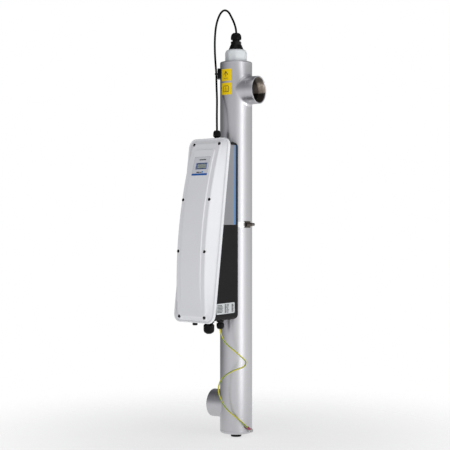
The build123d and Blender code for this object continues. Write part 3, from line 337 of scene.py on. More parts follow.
# ---------------------------------------------------------------- looks of the CAD pieces
# material: the CAD nodes that wear it
LOOKS = {
    "satin_stainless": "reactor_tube upper_port_socket lower_port_socket top_end_plate"
                       " bottom_end_plate earth_boss",
    "gland_nylon": "drain_plug lamp_holder lamp_gland_body lamp_gland_nut box_gland_body"
                   " box_gland_nut mains_gland_body mains_gland_nut mains_gland_blank"
                   " mains_gland_locknut earth_gland_body earth_gland_nut"
                   " small_gland_locknuts blanking_plug cable_clip cable_tie",
    "seal_rubber": "drain_o_ring sleeve_o_ring lamp_gland_seal box_gland_seal"
                   " mains_gland_seal earth_gland_seal cover_gasket",
    "zinc_screw": "earth_screw earth_washer saddle_screws ballast_screws",
    "tinned_copper": "ring_terminal",
    "quartz": "quartz_sleeve",
    "nut_white": "thrust_washer lamp_nut",
    "lamp_glass": "uv_lamp",
    "lamp_ceramic": "lamp_bases lamp_socket terminal_block",
    "brass_pin": "lamp_pins",
    "band_stainless": "clamp_band",
    "clamp_housing": "clamp_housing",
    "clamp_bolt": "clamp_screw",
    "base_black": "box_base mounting_saddle",
    "cover_grey": "box_cover",
    "blackened_screw": "cover_screws",
    "film_plate": "timer_label",
    "clear_window": "display_window",
    "lcd_grey_green": "lcd_module",
    "board_green": "timer_board",
    "ballast_white": "ballast",
    "cable_sheath": "internal_leads lamp_cable",
    "earth_stripe": "earth_wire",
    "sticker_yellow": "tube_stickers",
    "film_grey": "side_label",
    "film_white": "rating_label",
}
# widths of the softened edges, in metres
BEVELS = {
    "box_base": 0.0008, "lamp_holder": 0.0003, "cable_clip": 0.0004, "clamp_screw": 0.0003,
    "mounting_saddle": 0.0006, "ballast": 0.0006, "terminal_block": 0.0005,
    "blanking_plug": 0.0004, "drain_plug": 0.0005, "lamp_nut": 0.0006,
}


def dress_cad():
    look_of = {node: look for look, nodes in LOOKS.items() for node in nodes.split()}
    for name, ob in CAD_NODES.items():
        mesh = ob.data
        mesh.materials.clear()
        mesh.materials.append(MATERIALS[look_of[name]])
        mesh.polygons.foreach_set("use_smooth", [True] * len(mesh.polygons))
        ob.modifiers.new("weld", "WELD").merge_threshold = 1e-6
        if name in BEVELS:
            bevel = ob.modifiers.new("bevel", "BEVEL")
            bevel.width = BEVELS[name]
            bevel.segments = 2
            bevel.limit_method = "ANGLE"
            bevel.angle_limit = rad(38)
            bevel.use_clamp_overlap = True
        ob.modifiers.new("split", "EDGE_SPLIT").split_angle = rad(32)


dress_cad()


# ---------------------------------------------------------------- mesh helpers
def write_uvs(mesh, uvs):
    """Give each corner its vertex's UV, carrying U past 1 on faces that cross the seam."""
    layer = mesh.uv_layers.new(name="UVMap")
    for face in mesh.polygons:
        corners = [mesh.loops[i].vertex_index for i in face.loop_indices]
        round_values = [uvs[vertex][0] for vertex in corners]
        wraps = max(round_values) - min(round_values) > 0.5
        for loop, vertex in zip(face.loop_indices, corners):
            across, along = uvs[vertex]
            layer.data[loop].uv = (across + 1.0 if wraps and across < 0.5 else across, along)


def make(name, verts, faces, material, body=None, smooth=True, sharp=35.0, uvs=None):
    """Make an object from millimetre points; edges steeper than sharp degrees stay crisp."""
    mesh = bpy.data.meshes.new(name)
    mesh.from_pydata([tuple(float(c) * MM for c in v) for v in verts], [], faces)
    mesh.validate()
    ob = bpy.data.objects.new(name, mesh)
    bpy.context.scene.collection.objects.link(ob)
    mesh.materials.append(MATERIALS[material])
    bm = bmesh.new()
    bm.from_mesh(mesh)
    bmesh.ops.recalc_face_normals(bm, faces=bm.faces)
    for face in bm.faces:
        face.smooth = smooth
    for edge in bm.edges:
        if len(edge.link_faces) == 2 and edge.calc_face_angle(0) > rad(sharp):
            edge.smooth = False
    bm.to_mesh(mesh)
    bm.free()
    if uvs is not None:
        write_uvs(mesh, uvs)
    if body:
        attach(ob, body)
    return ob


def ring_quads(first, second, sides):
    """Quads between two rings of points, given each ring's first index."""
    return [(first + k, first + (k + 1) % sides, second + (k + 1) % sides, second + k)
            for k in range(sides)]


def grid_edge(columns, rows):
    """Indices round the border of a grid of points."""
    return (list(range(columns))
            + [j * columns + columns - 1 for j in range(1, rows)]
            + [(rows - 1) * columns + i for i in range(columns - 2, -1, -1)]
            + [j * columns for j in range(rows - 2, 0, -1)])


def spline(points, density):
    """Smooth cubic through points, with density steps to 10 mm; end tangents follow the chords."""
    knots = np.array(points, float)
    chords = np.linalg.norm(np.diff(knots, axis=0), axis=1)
    count = len(knots)
    matrix = np.zeros((count, count))
    right = np.zeros((count, 3))
    matrix[0, 0] = matrix[-1, -1] = 1
    right[0] = (knots[1] - knots[0]) / chords[0]
    right[-1] = (knots[-1] - knots[-2]) / chords[-1]
    for i in range(1, count - 1):
        before, after = chords[i - 1], chords[i]
        matrix[i, i - 1:i + 2] = after, 2 * (before + after), before
        right[i] = 3 * (after * (knots[i] - knots[i - 1]) / before
                        + before * (knots[i + 1] - knots[i]) / after)
    slopes = np.linalg.solve(matrix, right)
    path = []
    for i in range(count - 1):
        chord = chords[i]
        for t in np.linspace(0, 1, max(2, int(density * chord / 10.0)), endpoint=False):
            path.append((2 * t**3 - 3 * t**2 + 1) * knots[i]
                        + (t**3 - 2 * t**2 + t) * chord * slopes[i]
                        + (-2 * t**3 + 3 * t**2) * knots[i + 1]
                        + (t**3 - t**2) * chord * slopes[i + 1])
    path.append(knots[-1])
    return np.array(path)


def tube(name, path, radius, material, body, sides, swell=None):
    """Round tube along a path, its rings carried along without twist, closed at both ends."""
    path = np.array(path, float)
    tangents = np.gradient(path, axis=0)
    tangents /= np.linalg.norm(tangents, axis=1)[:, None]
    guide = np.array([1.0, 0, 0]) if abs(tangents[0][0]) < 0.9 else np.array([0, 1.0, 0])
    normal = np.cross(tangents[0], guide)
    normal /= np.linalg.norm(normal)
    steps = np.linalg.norm(np.diff(path, axis=0), axis=1)
    length = np.concatenate([[0], np.cumsum(steps)])
    verts, uvs, faces = [], [], []
    for i, point in enumerate(path):
        if i:
            normal = normal - tangents[i] * np.dot(normal, tangents[i])
            normal /= np.linalg.norm(normal)
        side = np.cross(tangents[i], normal)
        reach = radius if swell is None else radius * swell(length[i], length[-1])
        for k in range(sides):
            angle = 2 * math.pi * k / sides
            verts.append(point + reach * (math.cos(angle) * normal + math.sin(angle) * side))
            uvs.append((k / sides, length[i] / 1000.0))
    last = (len(path) - 1) * sides
    for start in range(0, last, sides):
        faces += ring_quads(start, start + sides, sides)
    faces.append(tuple(range(sides))[::-1])
    faces.append(tuple(last + k for k in range(sides)))
    return make(name, verts, faces, material, body, uvs=uvs, sharp=60)


def revolve(name, profile, origin, axis, material, body, sides, shape=None, sharp=30.0):
    """Turn a closed loop of (radius, height) about an axis; shape may change the radius."""
    axis = Vector(axis).normalized()
    if abs(axis.z) < 0.9:
        first = Vector((0, 0, 1))
        first = (first - axis * first.dot(axis)).normalized()
    else:
        first = Vector((1, 0, 0))
    second = axis.cross(first)
    origin = Vector(origin)
    verts, faces = [], []
    for radius, height in profile:
        for k in range(sides):
            angle = 2 * math.pi * k / sides
            reach = radius if shape is None else shape(radius, height, angle)
            verts.append(origin + axis * height
                         + (first * math.cos(angle) + second * math.sin(angle)) * reach)
    for i in range(len(profile)):
        faces += ring_quads(i * sides, (i + 1) % len(profile) * sides, sides)
    return make(name, verts, faces, material, body, sharp=sharp)


# ---------------------------------------------------------------- cover: one moulded shell
# Inside of the front face's rounded edge.
FACE_HALF_WIDTH, FACE_HALF_LENGTH, FACE_CORNER = 42.6, 197.4, 11.0
INNER_HALF_WIDTH, INNER_HALF_LENGTH = 40.2, 194.6       # underside of the face
CORNER_X = FACE_HALF_WIDTH - FACE_CORNER
CORNER_UP = FACE_HALF_LENGTH - FACE_CORNER

# Grid lines of the face, closest together at the panel's edge.
SIDE_LINES = [
    25.6, 26.8, 27.8, 28.7, 29.5, 30.1, 30.6, 31.0, 31.35, 31.7, 32.05, 32.4, 32.75, 33.1,
    33.6, 34.6, 36.4, 38.4, 40.4, FACE_HALF_WIDTH]
TOP_LINES = [
    175.4, 176.8, 178.0, 179.2, 180.2, 181.0, 181.8, 182.5, 183.1, 183.6, 184.0, 184.35,
    184.7, 185.05, 185.4, 185.75, 186.1, 186.6, 187.6, 189.6, 192.0, 194.6, FACE_HALF_LENGTH]
GRID_X = [-x for x in reversed(SIDE_LINES)] + list(np.linspace(-24, 24, 17)) + SIDE_LINES
GRID_UP = list(np.linspace(-FACE_HALF_LENGTH, 174, 120)) + TOP_LINES

# Rings of the shell: half width, half length, corner radius, then
# the drop below the face, for its rounded edge;
EDGE_RINGS = [(43.6, 198.4, 11.6, 0.10), (44.5, 199.3, 12.2, 0.45),
              (45.2, 200.0, 12.8, 1.1), (45.75, 200.6, 13.2, 2.0)]
# the height above the rim plane, for the groove and the flange;
FLANGE_RINGS = [
    (58.5, 208.0, 16.2, 4.35), (59.1, 208.6, 16.5, 3.8), (59.9, 209.2, 16.8, 3.75),
    (60.3, 209.5, 17.0, 4.1), (60.9, 210.1, 17.4, 4.55), (62.0, 211.2, 18.2, 4.6),
    (63.0, 212.2, 19.0, 4.2), (63.7, 212.9, 19.6, 3.3), (64.0, 213.2, 20.0, 2.2),
    (64.0, 213.2, 20.0, -1.2), (63.7, 212.9, 19.7, -1.8), (63.2, 212.4, 19.2, -2.0)]
# and the same for the seat, which is centred on the rim of the base.
SEAT_HALF_LENGTH = (RIM_TOP - RIM_BOTTOM) / 2 + 0.35
SEAT_RINGS = [(61.35, SEAT_HALF_LENGTH, 15.4, -2.0), (61.35, SEAT_HALF_LENGTH, 15.4, 0.0),
              (56.6, 204.2, 12.5, 0.0)]
SEAT_SHIFT = (RIM_TOP + RIM_BOTTOM) / 2


def soft_step(value):
    value = min(max(value, 0.0), 1.0)
    return value * value * (3 - 2 * value)


def front_out(x, up):
    """Height of the front: the panel is rounded at its top and runs out at its bottom."""
    over_x = abs(x) - (PANEL_HALF_WIDTH - PANEL_CORNER)
    over_up = up - (PANEL_TOP - PANEL_CORNER)
    outside = (math.hypot(max(over_x, 0), max(over_up, 0))
               + min(max(over_x, over_up), 0) - PANEL_CORNER)
    extra = soft_step((112.0 - up) / 70.0) * soft_step((up + 194.0) / 70.0)
    return face_out(up) + (panel_rise(up) + extra) * (1 - soft_step(outside / 1.75))


def round_corner(x, up):
    """Pull a point of the square grid inside the face's rounded outline."""
    over_x, over_up = abs(x) - CORNER_X, abs(up) - CORNER_UP
    if over_x <= 0 or over_up <= 0:
        return x, up
    distance = math.hypot(over_x, over_up)
    largest = max(over_x, over_up)
    return (math.copysign(CORNER_X + over_x * largest / distance, x),
            math.copysign(CORNER_UP + over_up * largest / distance, up))


def level(out):
    return lambda up: out


def below_face(drop):
    return lambda up: face_out(max(-198.0, min(198.0, up))) - drop


def cover_rings():
    """Rings from the face outwards and back inside: size, corner, height, shift upwards."""
    rings = [(*size, below_face(drop), 0.0) for *size, drop in EDGE_RINGS]
    wide, long, corner, drop = EDGE_RINGS[-1]
    for t in (0.25, 0.5, 0.75, 0.93):       # sloping side walls
        rings.append((wide + (58.2 - wide) * t, long + (207.6 - long) * t, corner + 3.0 * t,
                      lambda up, t=t: below_face(drop)(up) * (1 - t) + 4.7 * t, 0.0))
    rings += [(*size, level(out), 0.0) for *size, out in FLANGE_RINGS]
    rings += [(*size, level(out), SEAT_SHIFT) for *size, out in SEAT_RINGS]
    # inner wall
    rings += [(55.8, 203.6, 12.0, level(1.6), 0.0), (44.0, 197.6, 10.0, below_face(5.0), 0.0),
              (40.6, 195.0, 9.0, below_face(2.7), 0.0)]
    return rings


def ring_points(outline, half_width, half_length, corner, height, shift):
    """Spread the face's outline to a larger or smaller rounded rectangle."""
    points = []
    for x, up in outline:
        if abs(x) > CORNER_X and abs(up) > CORNER_UP:
            angle = math.atan2(abs(up) - CORNER_UP, abs(x) - CORNER_X)
            x = math.copysign(half_width - corner + corner * math.cos(angle), x)
            up = math.copysign(half_length - corner + corner * math.sin(angle), up)
        elif abs(up) >= CORNER_UP:
            x = x * (half_width - corner) / CORNER_X
            up = math.copysign(half_length, up)
        else:
            x = math.copysign(half_width, x)
            up = up * (half_length - corner) / CORNER_UP
        x, y, z = rim(x, up, height(up))
        points.append((x, y + shift * SIN_TILT, z + shift * COS_TILT))
    return points


def build_cover_shell():
    columns, rows = len(GRID_X), len(GRID_UP)
    grid = [round_corner(x, up) for up in GRID_UP for x in GRID_X]
    cells = [j * columns + i for j in range(rows - 1) for i in range(columns - 1)]
    edge = grid_edge(columns, rows)
    outline = [grid[i] for i in edge]
    verts = [rim(x, up, front_out(x, up)) for x, up in grid]
    faces = [(a, a + 1, a + columns + 1, a + columns) for a in cells]

    def bridge(first, second):
        for k in range(len(first)):
            after = (k + 1) % len(first)
            faces.append((first[k], second[k], second[after], first[after]))

    previous = edge
    for ring in cover_rings():
        start = len(verts)
        verts.extend(ring_points(outline, *ring))
        current = list(range(start, len(verts)))
        bridge(previous, current)
        previous = current
    # underside of the front
    base = len(verts)
    for x, up in grid:
        x = x * INNER_HALF_WIDTH / FACE_HALF_WIDTH
        up = up * INNER_HALF_LENGTH / FACE_HALF_LENGTH
        verts.append(rim(x, up, face_out(up) - 2.6))
    for a in cells:
        a += base
        faces.append((a, a + columns, a + columns + 1, a + 1))
    bridge(previous, [base + i for i in edge])
    return make("cover_shell", verts, faces, "cover_grey", sharp=50)


def post_circle(x, up, radius, out, sides):
    angles = [2 * math.pi * k / sides for k in range(sides)]
    return [rim(x + radius * math.cos(a), up + radius * math.sin(a), out) for a in angles]


def post_cylinders(name, radius, low, high, sides):
    """One cylinder at every screw post; high gives its end from the post's place."""
    verts, faces = [], []
    for x, up in POSTS:
        base = len(verts)
        for out in (low, high(up)):
            verts += post_circle(x, up, radius, out, sides)
        faces += ring_quads(base, base + sides, sides)
        faces.append(tuple(base + k for k in range(sides))[::-1])
        faces.append(tuple(base + sides + k for k in range(sides)))
    return make(name, verts, faces, "cover_grey")


def window_cutter():
    verts = [display_point(side * OPENING_HALF_WIDTH, end * OPENING_HALF_HEIGHT, height)
             for height in (-9.0, 9.0)
             for side, end in ((-1, -1), (1, -1), (1, 1), (-1, 1))]
    faces = [(0, 3, 2, 1), (4, 5, 6, 7), (0, 1, 5, 4), (1, 2, 6, 5), (2, 3, 7, 6), (3, 0, 4, 7)]
    return make("tmp_window", verts, faces, "cover_grey")


def cut_cover(ob):
    """Join the screw sleeves to the shell, then cut their holes and the display opening."""
    tools = [
        (post_cylinders("tmp_sleeves", 5.3, 0.6, lambda up: face_out(up) - 1.4, 40), "UNION"),
        (post_cylinders("tmp_holes", 3.7, 3.0, level(60.0), 40), "DIFFERENCE"),
        (post_cylinders("tmp_shanks", 2.3, -3.0, level(5.0), 24), "DIFFERENCE"),
        (window_cutter(), "DIFFERENCE")]
    for tool, operation in tools:
        boolean = ob.modifiers.new(operation, "BOOLEAN")
        boolean.operation = operation
        boolean.object = tool
        boolean.solver = "EXACT"
    bpy.context.view_layer.update()
    graph = bpy.context.evaluated_depsgraph_get()
    mesh = bpy.data.meshes.new_from_object(ob.evaluated_get(graph))
    ob.modifiers.clear()
    ob.data = mesh
    bm = bmesh.new()
    bm.from_mesh(mesh)
    for face in bm.faces:
        face.smooth = True
    for edge in bm.edges:
        crisp = len(edge.link_faces) == 2 and edge.calc_face_angle(0) > rad(42)
        edge.smooth = not crisp
    bm.to_mesh(mesh)
    bm.free()
    mesh.materials.clear()
    mesh.materials.append(MATERIALS["cover_grey"])
    for tool, operation in tools:
        bpy.data.objects.remove(tool)


def build_screw_wells():
    """Thin dark sleeves on the walls of the screw holes: painted shade."""
    inner, outer, low, sides = 3.57, 3.69, 6.0, 40
    verts, faces = [], []
    for x, up in POSTS:
        base = len(verts)
        high = face_out(up) - 0.35
        for radius, out in ((inner, low), (outer, low), (outer, high), (inner, high)):
            verts += post_circle(x, up, radius, out, sides)
        for i in range(4):
            faces += ring_quads(base + i * sides, base + (i + 1) % 4 * sides, sides)
    # painted shade: dark sleeves on the walls of each screw hole stand in for its shade
    well_shade = make("screw_well_shade", verts, faces, "seal_rubber", "cover", sharp=50)


def build_cover():
    shell = build_cover_shell()
    cut_cover(shell)
    build_screw_wells()
    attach(shell, "cover")
    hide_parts("box_cover")


build_cover()

# ---------------------------------------------------------------- cables
# x, y, z from the gland on top of the box, up over a bend and down into the lamp gland
LAMP_LEAD = [
    (0, -66, 664), (0, -66, 690), (0, -66, 718), (-1.6, -64.6, 740), (-7.2, -58.4, 764),
    (-17.8, -47.2, 791), (-28.6, -37.0, 815), (-34.15, -31.85, 838), (-34.3, -32.0, 848.8),
    (-35.0, -32.6, 862), (-36.4, -33.9, 890.6), (-36.9, -34.4, 921.4), (-36.0, -33.6, 947.2),
    (-33.8, -31.5, 967.6), (-29.5, -27.5, 985.6), (-24.8, -23.1, 995.8), (-20.1, -18.7, 999.6),
    (-14.4, -13.4, 996.8), (-9.7, -9.0, 987.9), (-5.2, -4.8, 975.4), (-1.7, -1.6, 962.4),
    (0, 0, 951), (0, 0, 930), (0, 0, 904.3)]
# x, y, z from the gland under the box down towards the earth lug
EARTH_LEAD = [
    (38, -95, 292), (38, -95, 270), (38, -95, 249), (39.4, -92.8, 238), (44.2, -86.8, 223.5),
    (58.4, -71.3, 203.7), (70.8, -54.6, 185.5), (73.6, -47.6, 176.5), (70.0, -46.6, 168.2),
    (54.5, -54.0, 159.0), (34.8, -64.7, 148.2), (17.8, -72.6, 130.4), (10.6, -72.2, 109.0),
    (11.2, -65.0, 86.0), (18.8, -52.4, 62.6), (29.4, -36.6, 45.2), (40.5, -24.5, 31.5)]
LUG_RISE = rad(33.0)


def build_lamp_lead():
    lead = tube("lamp_lead", spline(LAMP_LEAD, density=10), 2.4, "cable_sheath", None, sides=24)
    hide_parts("lamp_cable")
    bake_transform(lead)


def build_earth_lead():
    bearing = rad(EARTH_BEARING)
    outward = np.array([math.sin(bearing), -math.cos(bearing), 0])
    lug_axis = np.array([-math.cos(LUG_RISE) * math.cos(bearing),
                         -math.cos(LUG_RISE) * math.sin(bearing), math.sin(LUG_RISE)])
    lug = np.array(around(EARTH_BEARING, 42.5, 9.0)) + 1.95 * outward + 5.6 * lug_axis
    path = EARTH_LEAD + [tuple(lug + d * lug_axis) for d in (12.5, 9.5, 6.5, 3.0)]
    wire = tube("earth_lead", spline(path, density=12), 1.6, "earth_stripe", "frame", sides=20)
    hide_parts("earth_wire")
    # the sleeve narrows at both ends
    path = [lug + d * lug_axis for d in (0.8, 1.2, 2.5, 5.0, 8.0, 10.2, 10.8)]
    sleeve = tube("lug_sleeve", path, 2.95, "lug_sleeve", "frame", sides=28,
                  swell=lambda along, total: 1.0 if 0.3 < along < total - 0.5 else 0.9)


build_lamp_lead()
build_earth_lead()

# ---------------------------------------------------------------- port bores, threads, welds
# radius, distance from the tube's axis: a thin sleeve from the mouth to the wall and back
BORE_PROFILE = [(29.79, 62.9), (29.79, 44.1), (28.49, 43.6), (28.49, 30.0),
                (28.35, 30.0), (28.35, 43.7), (29.60, 44.2), (29.68, 62.9)]
THREAD_PITCH, THREAD_TURNS = 2.309, 7.8
THREAD_ROOT, THREAD_CREST = 29.86, 28.65
THREAD_START, THREAD_END = 43.9, 62.75
PLATE_WELD_RADIUS = 38.03


def build_bore(name, side, axis_z):
    bore = revolve(f"{name}_port_bore", BORE_PROFILE, (0, 0, axis_z), port_axis(side),
                   f"port_bore_{name}", "frame", sides=144)


def build_thread(name, side, axis_z):
    """Helical ridge inside a port, fading out at both ends."""
    axis = np.array(port_axis(side))
    first = np.array([0, 0, 1.0])
    second = np.cross(axis, first)
    steps = int(THREAD_TURNS * 90)
    verts, faces = [], []
    for i in range(steps + 1):
        angle = 2 * math.pi * THREAD_TURNS * i / steps
        along = THREAD_START + THREAD_PITCH * THREAD_TURNS * i / steps
        fade = min(1.0, i / 30.0, (steps - i) / 30.0)
        crest = THREAD_ROOT - (THREAD_ROOT - THREAD_CREST) * fade
        for offset, radius in ((-1.0, THREAD_ROOT), (-0.2, crest), (0.2, crest),
                               (1.0, THREAD_ROOT), (0.0, THREAD_ROOT + 0.25)):
            verts.append(np.array([0, 0, axis_z]) + axis * min(along + offset, THREAD_END)
                         + radius * (math.cos(angle) * first + math.sin(angle) * second))
    for i in range(steps):
        faces += ring_quads(i * 5, (i + 1) * 5, 5)
    faces.append((0, 1, 2, 3, 4))
    faces.append(tuple(steps * 5 + k for k in (4, 3, 2, 1, 0)))
    thread = make(f"{name}_port_thread", verts, faces, f"port_bore_{name}", "frame", sharp=40)


def build_weld(name, origin, axis, radius, width, height):
    """A rippled bead round a joint."""
    profile = [(radius - 0.25, -width / 2)]
    profile += [(radius + height * math.sin(math.pi * t), -width / 2 + width * t)
                for t in np.linspace(0, 1, 7)]
    profile += [(radius - 0.25, width / 2)]

    def ripple(reach, along, angle):
        return reach + 0.05 * math.sin(angle * 70 + along * 2.0) * (1 if reach > radius else 0)

    weld = revolve(name, profile, origin, axis, "satin_stainless", "frame", sides=240,
                   shape=ripple, sharp=60)


for port in PORTS:
    build_bore(*port)
for port in PORTS:
    build_thread(*port)
for port_name, side, axis_z in PORTS:
    axis = port_axis(side)
    build_weld(f"{port_name}_port_weld", (axis[0] * 43.5, axis[1] * 43.5, axis_z), axis,
               radius=32.68, width=1.8, height=0.22)
build_weld("top_plate_weld", (0, 0, 872.6), (0, 0, 1), PLATE_WELD_RADIUS, width=1.6, height=0.12)
build_weld("bottom_plate_weld", (0, 0, 6.4), (0, 0, 1), PLATE_WELD_RADIUS, width=1.8, height=0.14)

# ---------------------------------------------------------------- gland nuts
# name, origin, direction along Z, foot and top heights, corner radius, apothem,
# hole radius at the top, inner radius, dome's share of the height, foot's taper, foot's height
NUTS = [
    ("lamp", (0, 0, 917), 1, 12.0, 29.0, 12.7, 11.6, 3.2, 8.66, 0.72, 0.16, 3.2),
    ("box", (0, -66, BOX_TOP_Z), 1, 12.0, 28.0, 9.0, 8.3, 3.2, 5.96, 0.62, 0.32, 4.4),
    ("mains", (0, -93, BOX_BOTTOM_Z), -1, 11.5, 32.0, 12.7, 11.7, 5.3, 9.66, 0.45, 0.16, 3.2),
    ("earth", (38, -95, BOX_BOTTOM_Z), -1, 6.0, 20.0, 8.9, 8.2, 2.4, 5.96, 0.6, 0.16, 3.2),
]
NUT_TOP_THICKNESS = 4.0


def build_dome_nut(name, origin, direction, low, high, corner, apothem, hole, inner,
                   dome, taper, foot):
    """A hexagon run out into a dome, with ribs."""
    tall = high - low

    def outer(height):
        share = (height - low) / tall
        if share < 1 - dome:
            return corner
        rise = (share - (1 - dome)) / dome
        return hole + 1.2 + (corner - hole - 1.2) * math.sqrt(max(0.0, 1 - rise ** 2.2))

    profile = [(inner, low), (corner * (1 - taper), low)]
    for t in (0.2, 0.4, 0.6, 0.8, 1.0):
        turn = t * math.pi / 2
        profile.append((corner * (1 - taper * (1 - math.sin(turn))),
                        low + foot * (1 - math.cos(turn))))
    for i in range(1, 30):
        height = low + foot + 0.05 + (tall - foot - 0.05) * math.sin(i / 30 * math.pi / 2)
        profile.append((outer(height), height))
    under = high - NUT_TOP_THICKNESS
    profile += [(hole + 0.9, high), (hole + 0.25, high - 0.2), (hole, high - 0.8),
                (hole, under), (inner, under)]

    def hexagon(radius, height, angle):
        if radius <= inner + 0.01 or radius <= hole + 1.0:
            return radius
        from_flat = (angle + math.pi / 6) % (math.pi / 3) - math.pi / 6
        reach = min(radius, apothem / math.cos(from_flat))
        if height > low + 1.0:
            # grooves between the ribs fade in above the foot and out on the dome
            groove = 0.5 + 0.5 * math.cos(angle * 24)
            share = (height - low) / tall
            fade = 1.0 if share < 0.6 else max(0.0, 1 - (share - 0.6) / 0.25)
            reach -= 0.28 * groove ** 3 * min(1.0, (height - low - 1.0) / 1.5) * fade
        return reach

    cad_name = f"{name}_gland_nut"
    nut = revolve(f"{name}_dome_nut", profile, origin, (0, 0, direction), "gland_nylon",
                  cad_name, sides=192, shape=hexagon, sharp=38)
    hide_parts(cad_name)


for row in NUTS:
    build_dome_nut(*row)


# ---------------------------------------------------------------- surfaces for printed marks
def on_panel(lift):
    """Across x and up the label on the cover's panel."""
    return lambda x, up: rim(x, up, panel_out(up) + 0.35 + lift)


def on_tube(radius):
    """Arc length from -Y towards +X, and z."""
    return lambda arc, z: around(math.degrees(arc / radius), radius, z)


def on_display(x, along):
    """Just under the display window."""
    return display_point(x, along, -1.74)


def on_side(cad_name):
    """y and z, on the +X side of a CAD label."""
    mesh = CAD_NODES[cad_name].data
    bvh = BVHTree.FromPolygons([v.co.copy() for v in mesh.vertices],
                               [tuple(p.vertices) for p in mesh.polygons])

    def surface(y, z):
        hit = bvh.ray_cast(Vector((0.2, y * MM, z * MM)), Vector((-1, 0, 0)))[0]
        if hit is None:
            hit = bvh.find_nearest(Vector((0.06, y * MM, z * MM)))[0]
        return (hit.x / MM + 0.05, y, z)
    return surface


def marks(name, surface, shapes, material, body, thick=0.04, step=4.0):
    """Thin closed sheets; a shape is (left, low, right, high) or four corner points."""
    verts, faces = [], []
    for shape in shapes:
        if not isinstance(shape[0], tuple):
            left, low, right, high = shape
            shape = ((left, low), (right, low), (right, high), (left, high))
        shape = [np.array(corner, float) for corner in shape]

        def side(start, end):
            return np.linalg.norm(shape[end] - shape[start])

        wide = max(1, int(max(side(0, 1), side(3, 2)) / step))
        tall = max(1, int(max(side(0, 3), side(1, 2)) / step))
        columns = wide + 1
        top = []
        for j in range(tall + 1):
            for i in range(columns):
                s, t = i / wide, j / tall
                point = ((1 - s) * (1 - t) * shape[0] + s * (1 - t) * shape[1]
                         + s * t * shape[2] + (1 - s) * t * shape[3])
                top.append(np.array(surface(point[0], point[1])))
        normal = np.cross(top[1] - top[0], top[columns] - top[0])
        normal /= np.linalg.norm(normal)
        base, count = len(verts), len(top)
        verts += top + [point - normal * thick for point in top]
        for j in range(tall):
            for i in range(wide):
                a = base + j * columns + i
                b = a + count
                faces.append((a, a + 1, a + columns + 1, a + columns))
                faces.append((b, b + columns, b + columns + 1, b + 1))
        edge = [base + i for i in grid_edge(columns, tall + 1)]
        for a, b in zip(edge, edge[1:] + edge[:1]):
            faces.append((a, b, b + count, a + count))
    make(name, verts, faces, material, body, smooth=False)


def stroke(points, width, closed=True):
    """Quads of a thick line through points, overlapping at the joints."""
    quads = []
    for i in range(len(points) if closed else len(points) - 1):
        start = np.array(points[i], float)
        end = np.array(points[(i + 1) % len(points)], float)
        along = (end - start) / np.linalg.norm(end - start)
        across = np.array([-along[1], along[0]]) * width / 2
        start, end = start - along * width * 0.45, end + along * width * 0.45
        quads.append((tuple(start - across), tuple(end - across),
                      tuple(end + across), tuple(start + across)))
    return quads


# ---------------------------------------------------------------- timer plate and display
def build_plate():
    low, high = LABEL_LOW, LABEL_HIGH
    # name, material, rectangles
    prints = [
        ("plate_bar", "print_blue_deep", [(-24.9, low + 0.4, 23.6, low + 5.0)]),
        ("plate_caption", "print_dark",
         [(left, low + 36.4, right, low + 38.8)
          for left, right in ((-8.5, -1.4), (-0.6, 4.6), (5.4, 12.0))]),
        ("plate_small_caption", "print_dark",
         [(-10.5, low + 6.4, -2.0, low + 9.0), (-1.0, low + 6.4, 4.0, low + 8.6)]),
        ("plate_dot", "print_blue", [(5.2, low + 6.4, 10.0, low + 10.2)])]
    for name, material, shapes in prints:
        marks(name, on_panel(0.03), shapes, material, "cover")
    middle = DISPLAY_UP
    marks("display_bezel", on_panel(0.10),
          [(-15.9, middle + 7.05, 18.9, middle + 7.7), (-15.9, middle - 7.7, 18.9, middle - 7.05),
           (-15.9, middle - 7.1, -13.75, middle + 7.1), (16.75, middle - 7.1, 18.9, middle + 7.1)],
          "lcd_frame", "cover", thick=0.3)
    marks("plate_border", on_panel(0.03),
          [(-24.7, low + 5.4, -24.4, high - 0.5), (24.4, low + 0.5, 24.7, high - 0.5),
           (-24.4, high - 0.8, 24.4, high - 0.5)],
          "film_grey", "cover")


def build_display():
    """Four faint figures inside a printed frame."""
    wide, top, bar, gap = 3.0, 5.2 / 2, 0.45, 0.2
    segments = []
    for k in range(4):
        left = -9.6 + k * 5.0
        right = left + wide
        segments += [
            (left, top - bar, right, top), (left, -top, right, -top + bar),
            (left, -top, left + bar, -gap), (left, gap, left + bar, top),
            (right - bar, -top, right, -gap), (right - bar, gap, right, top)]
    marks("display_digits", on_display, segments, "lcd_digit", "cover", thick=0.02)
    marks("display_frame", on_display,
          [(-14.7, 4.7, 14.7, 6.65), (-14.7, -6.65, 14.7, -4.7),
           (-14.7, -4.7, -13.5, 4.7), (13.5, -4.7, 14.7, 4.7)],
          "lcd_frame", "cover", thick=0.02)


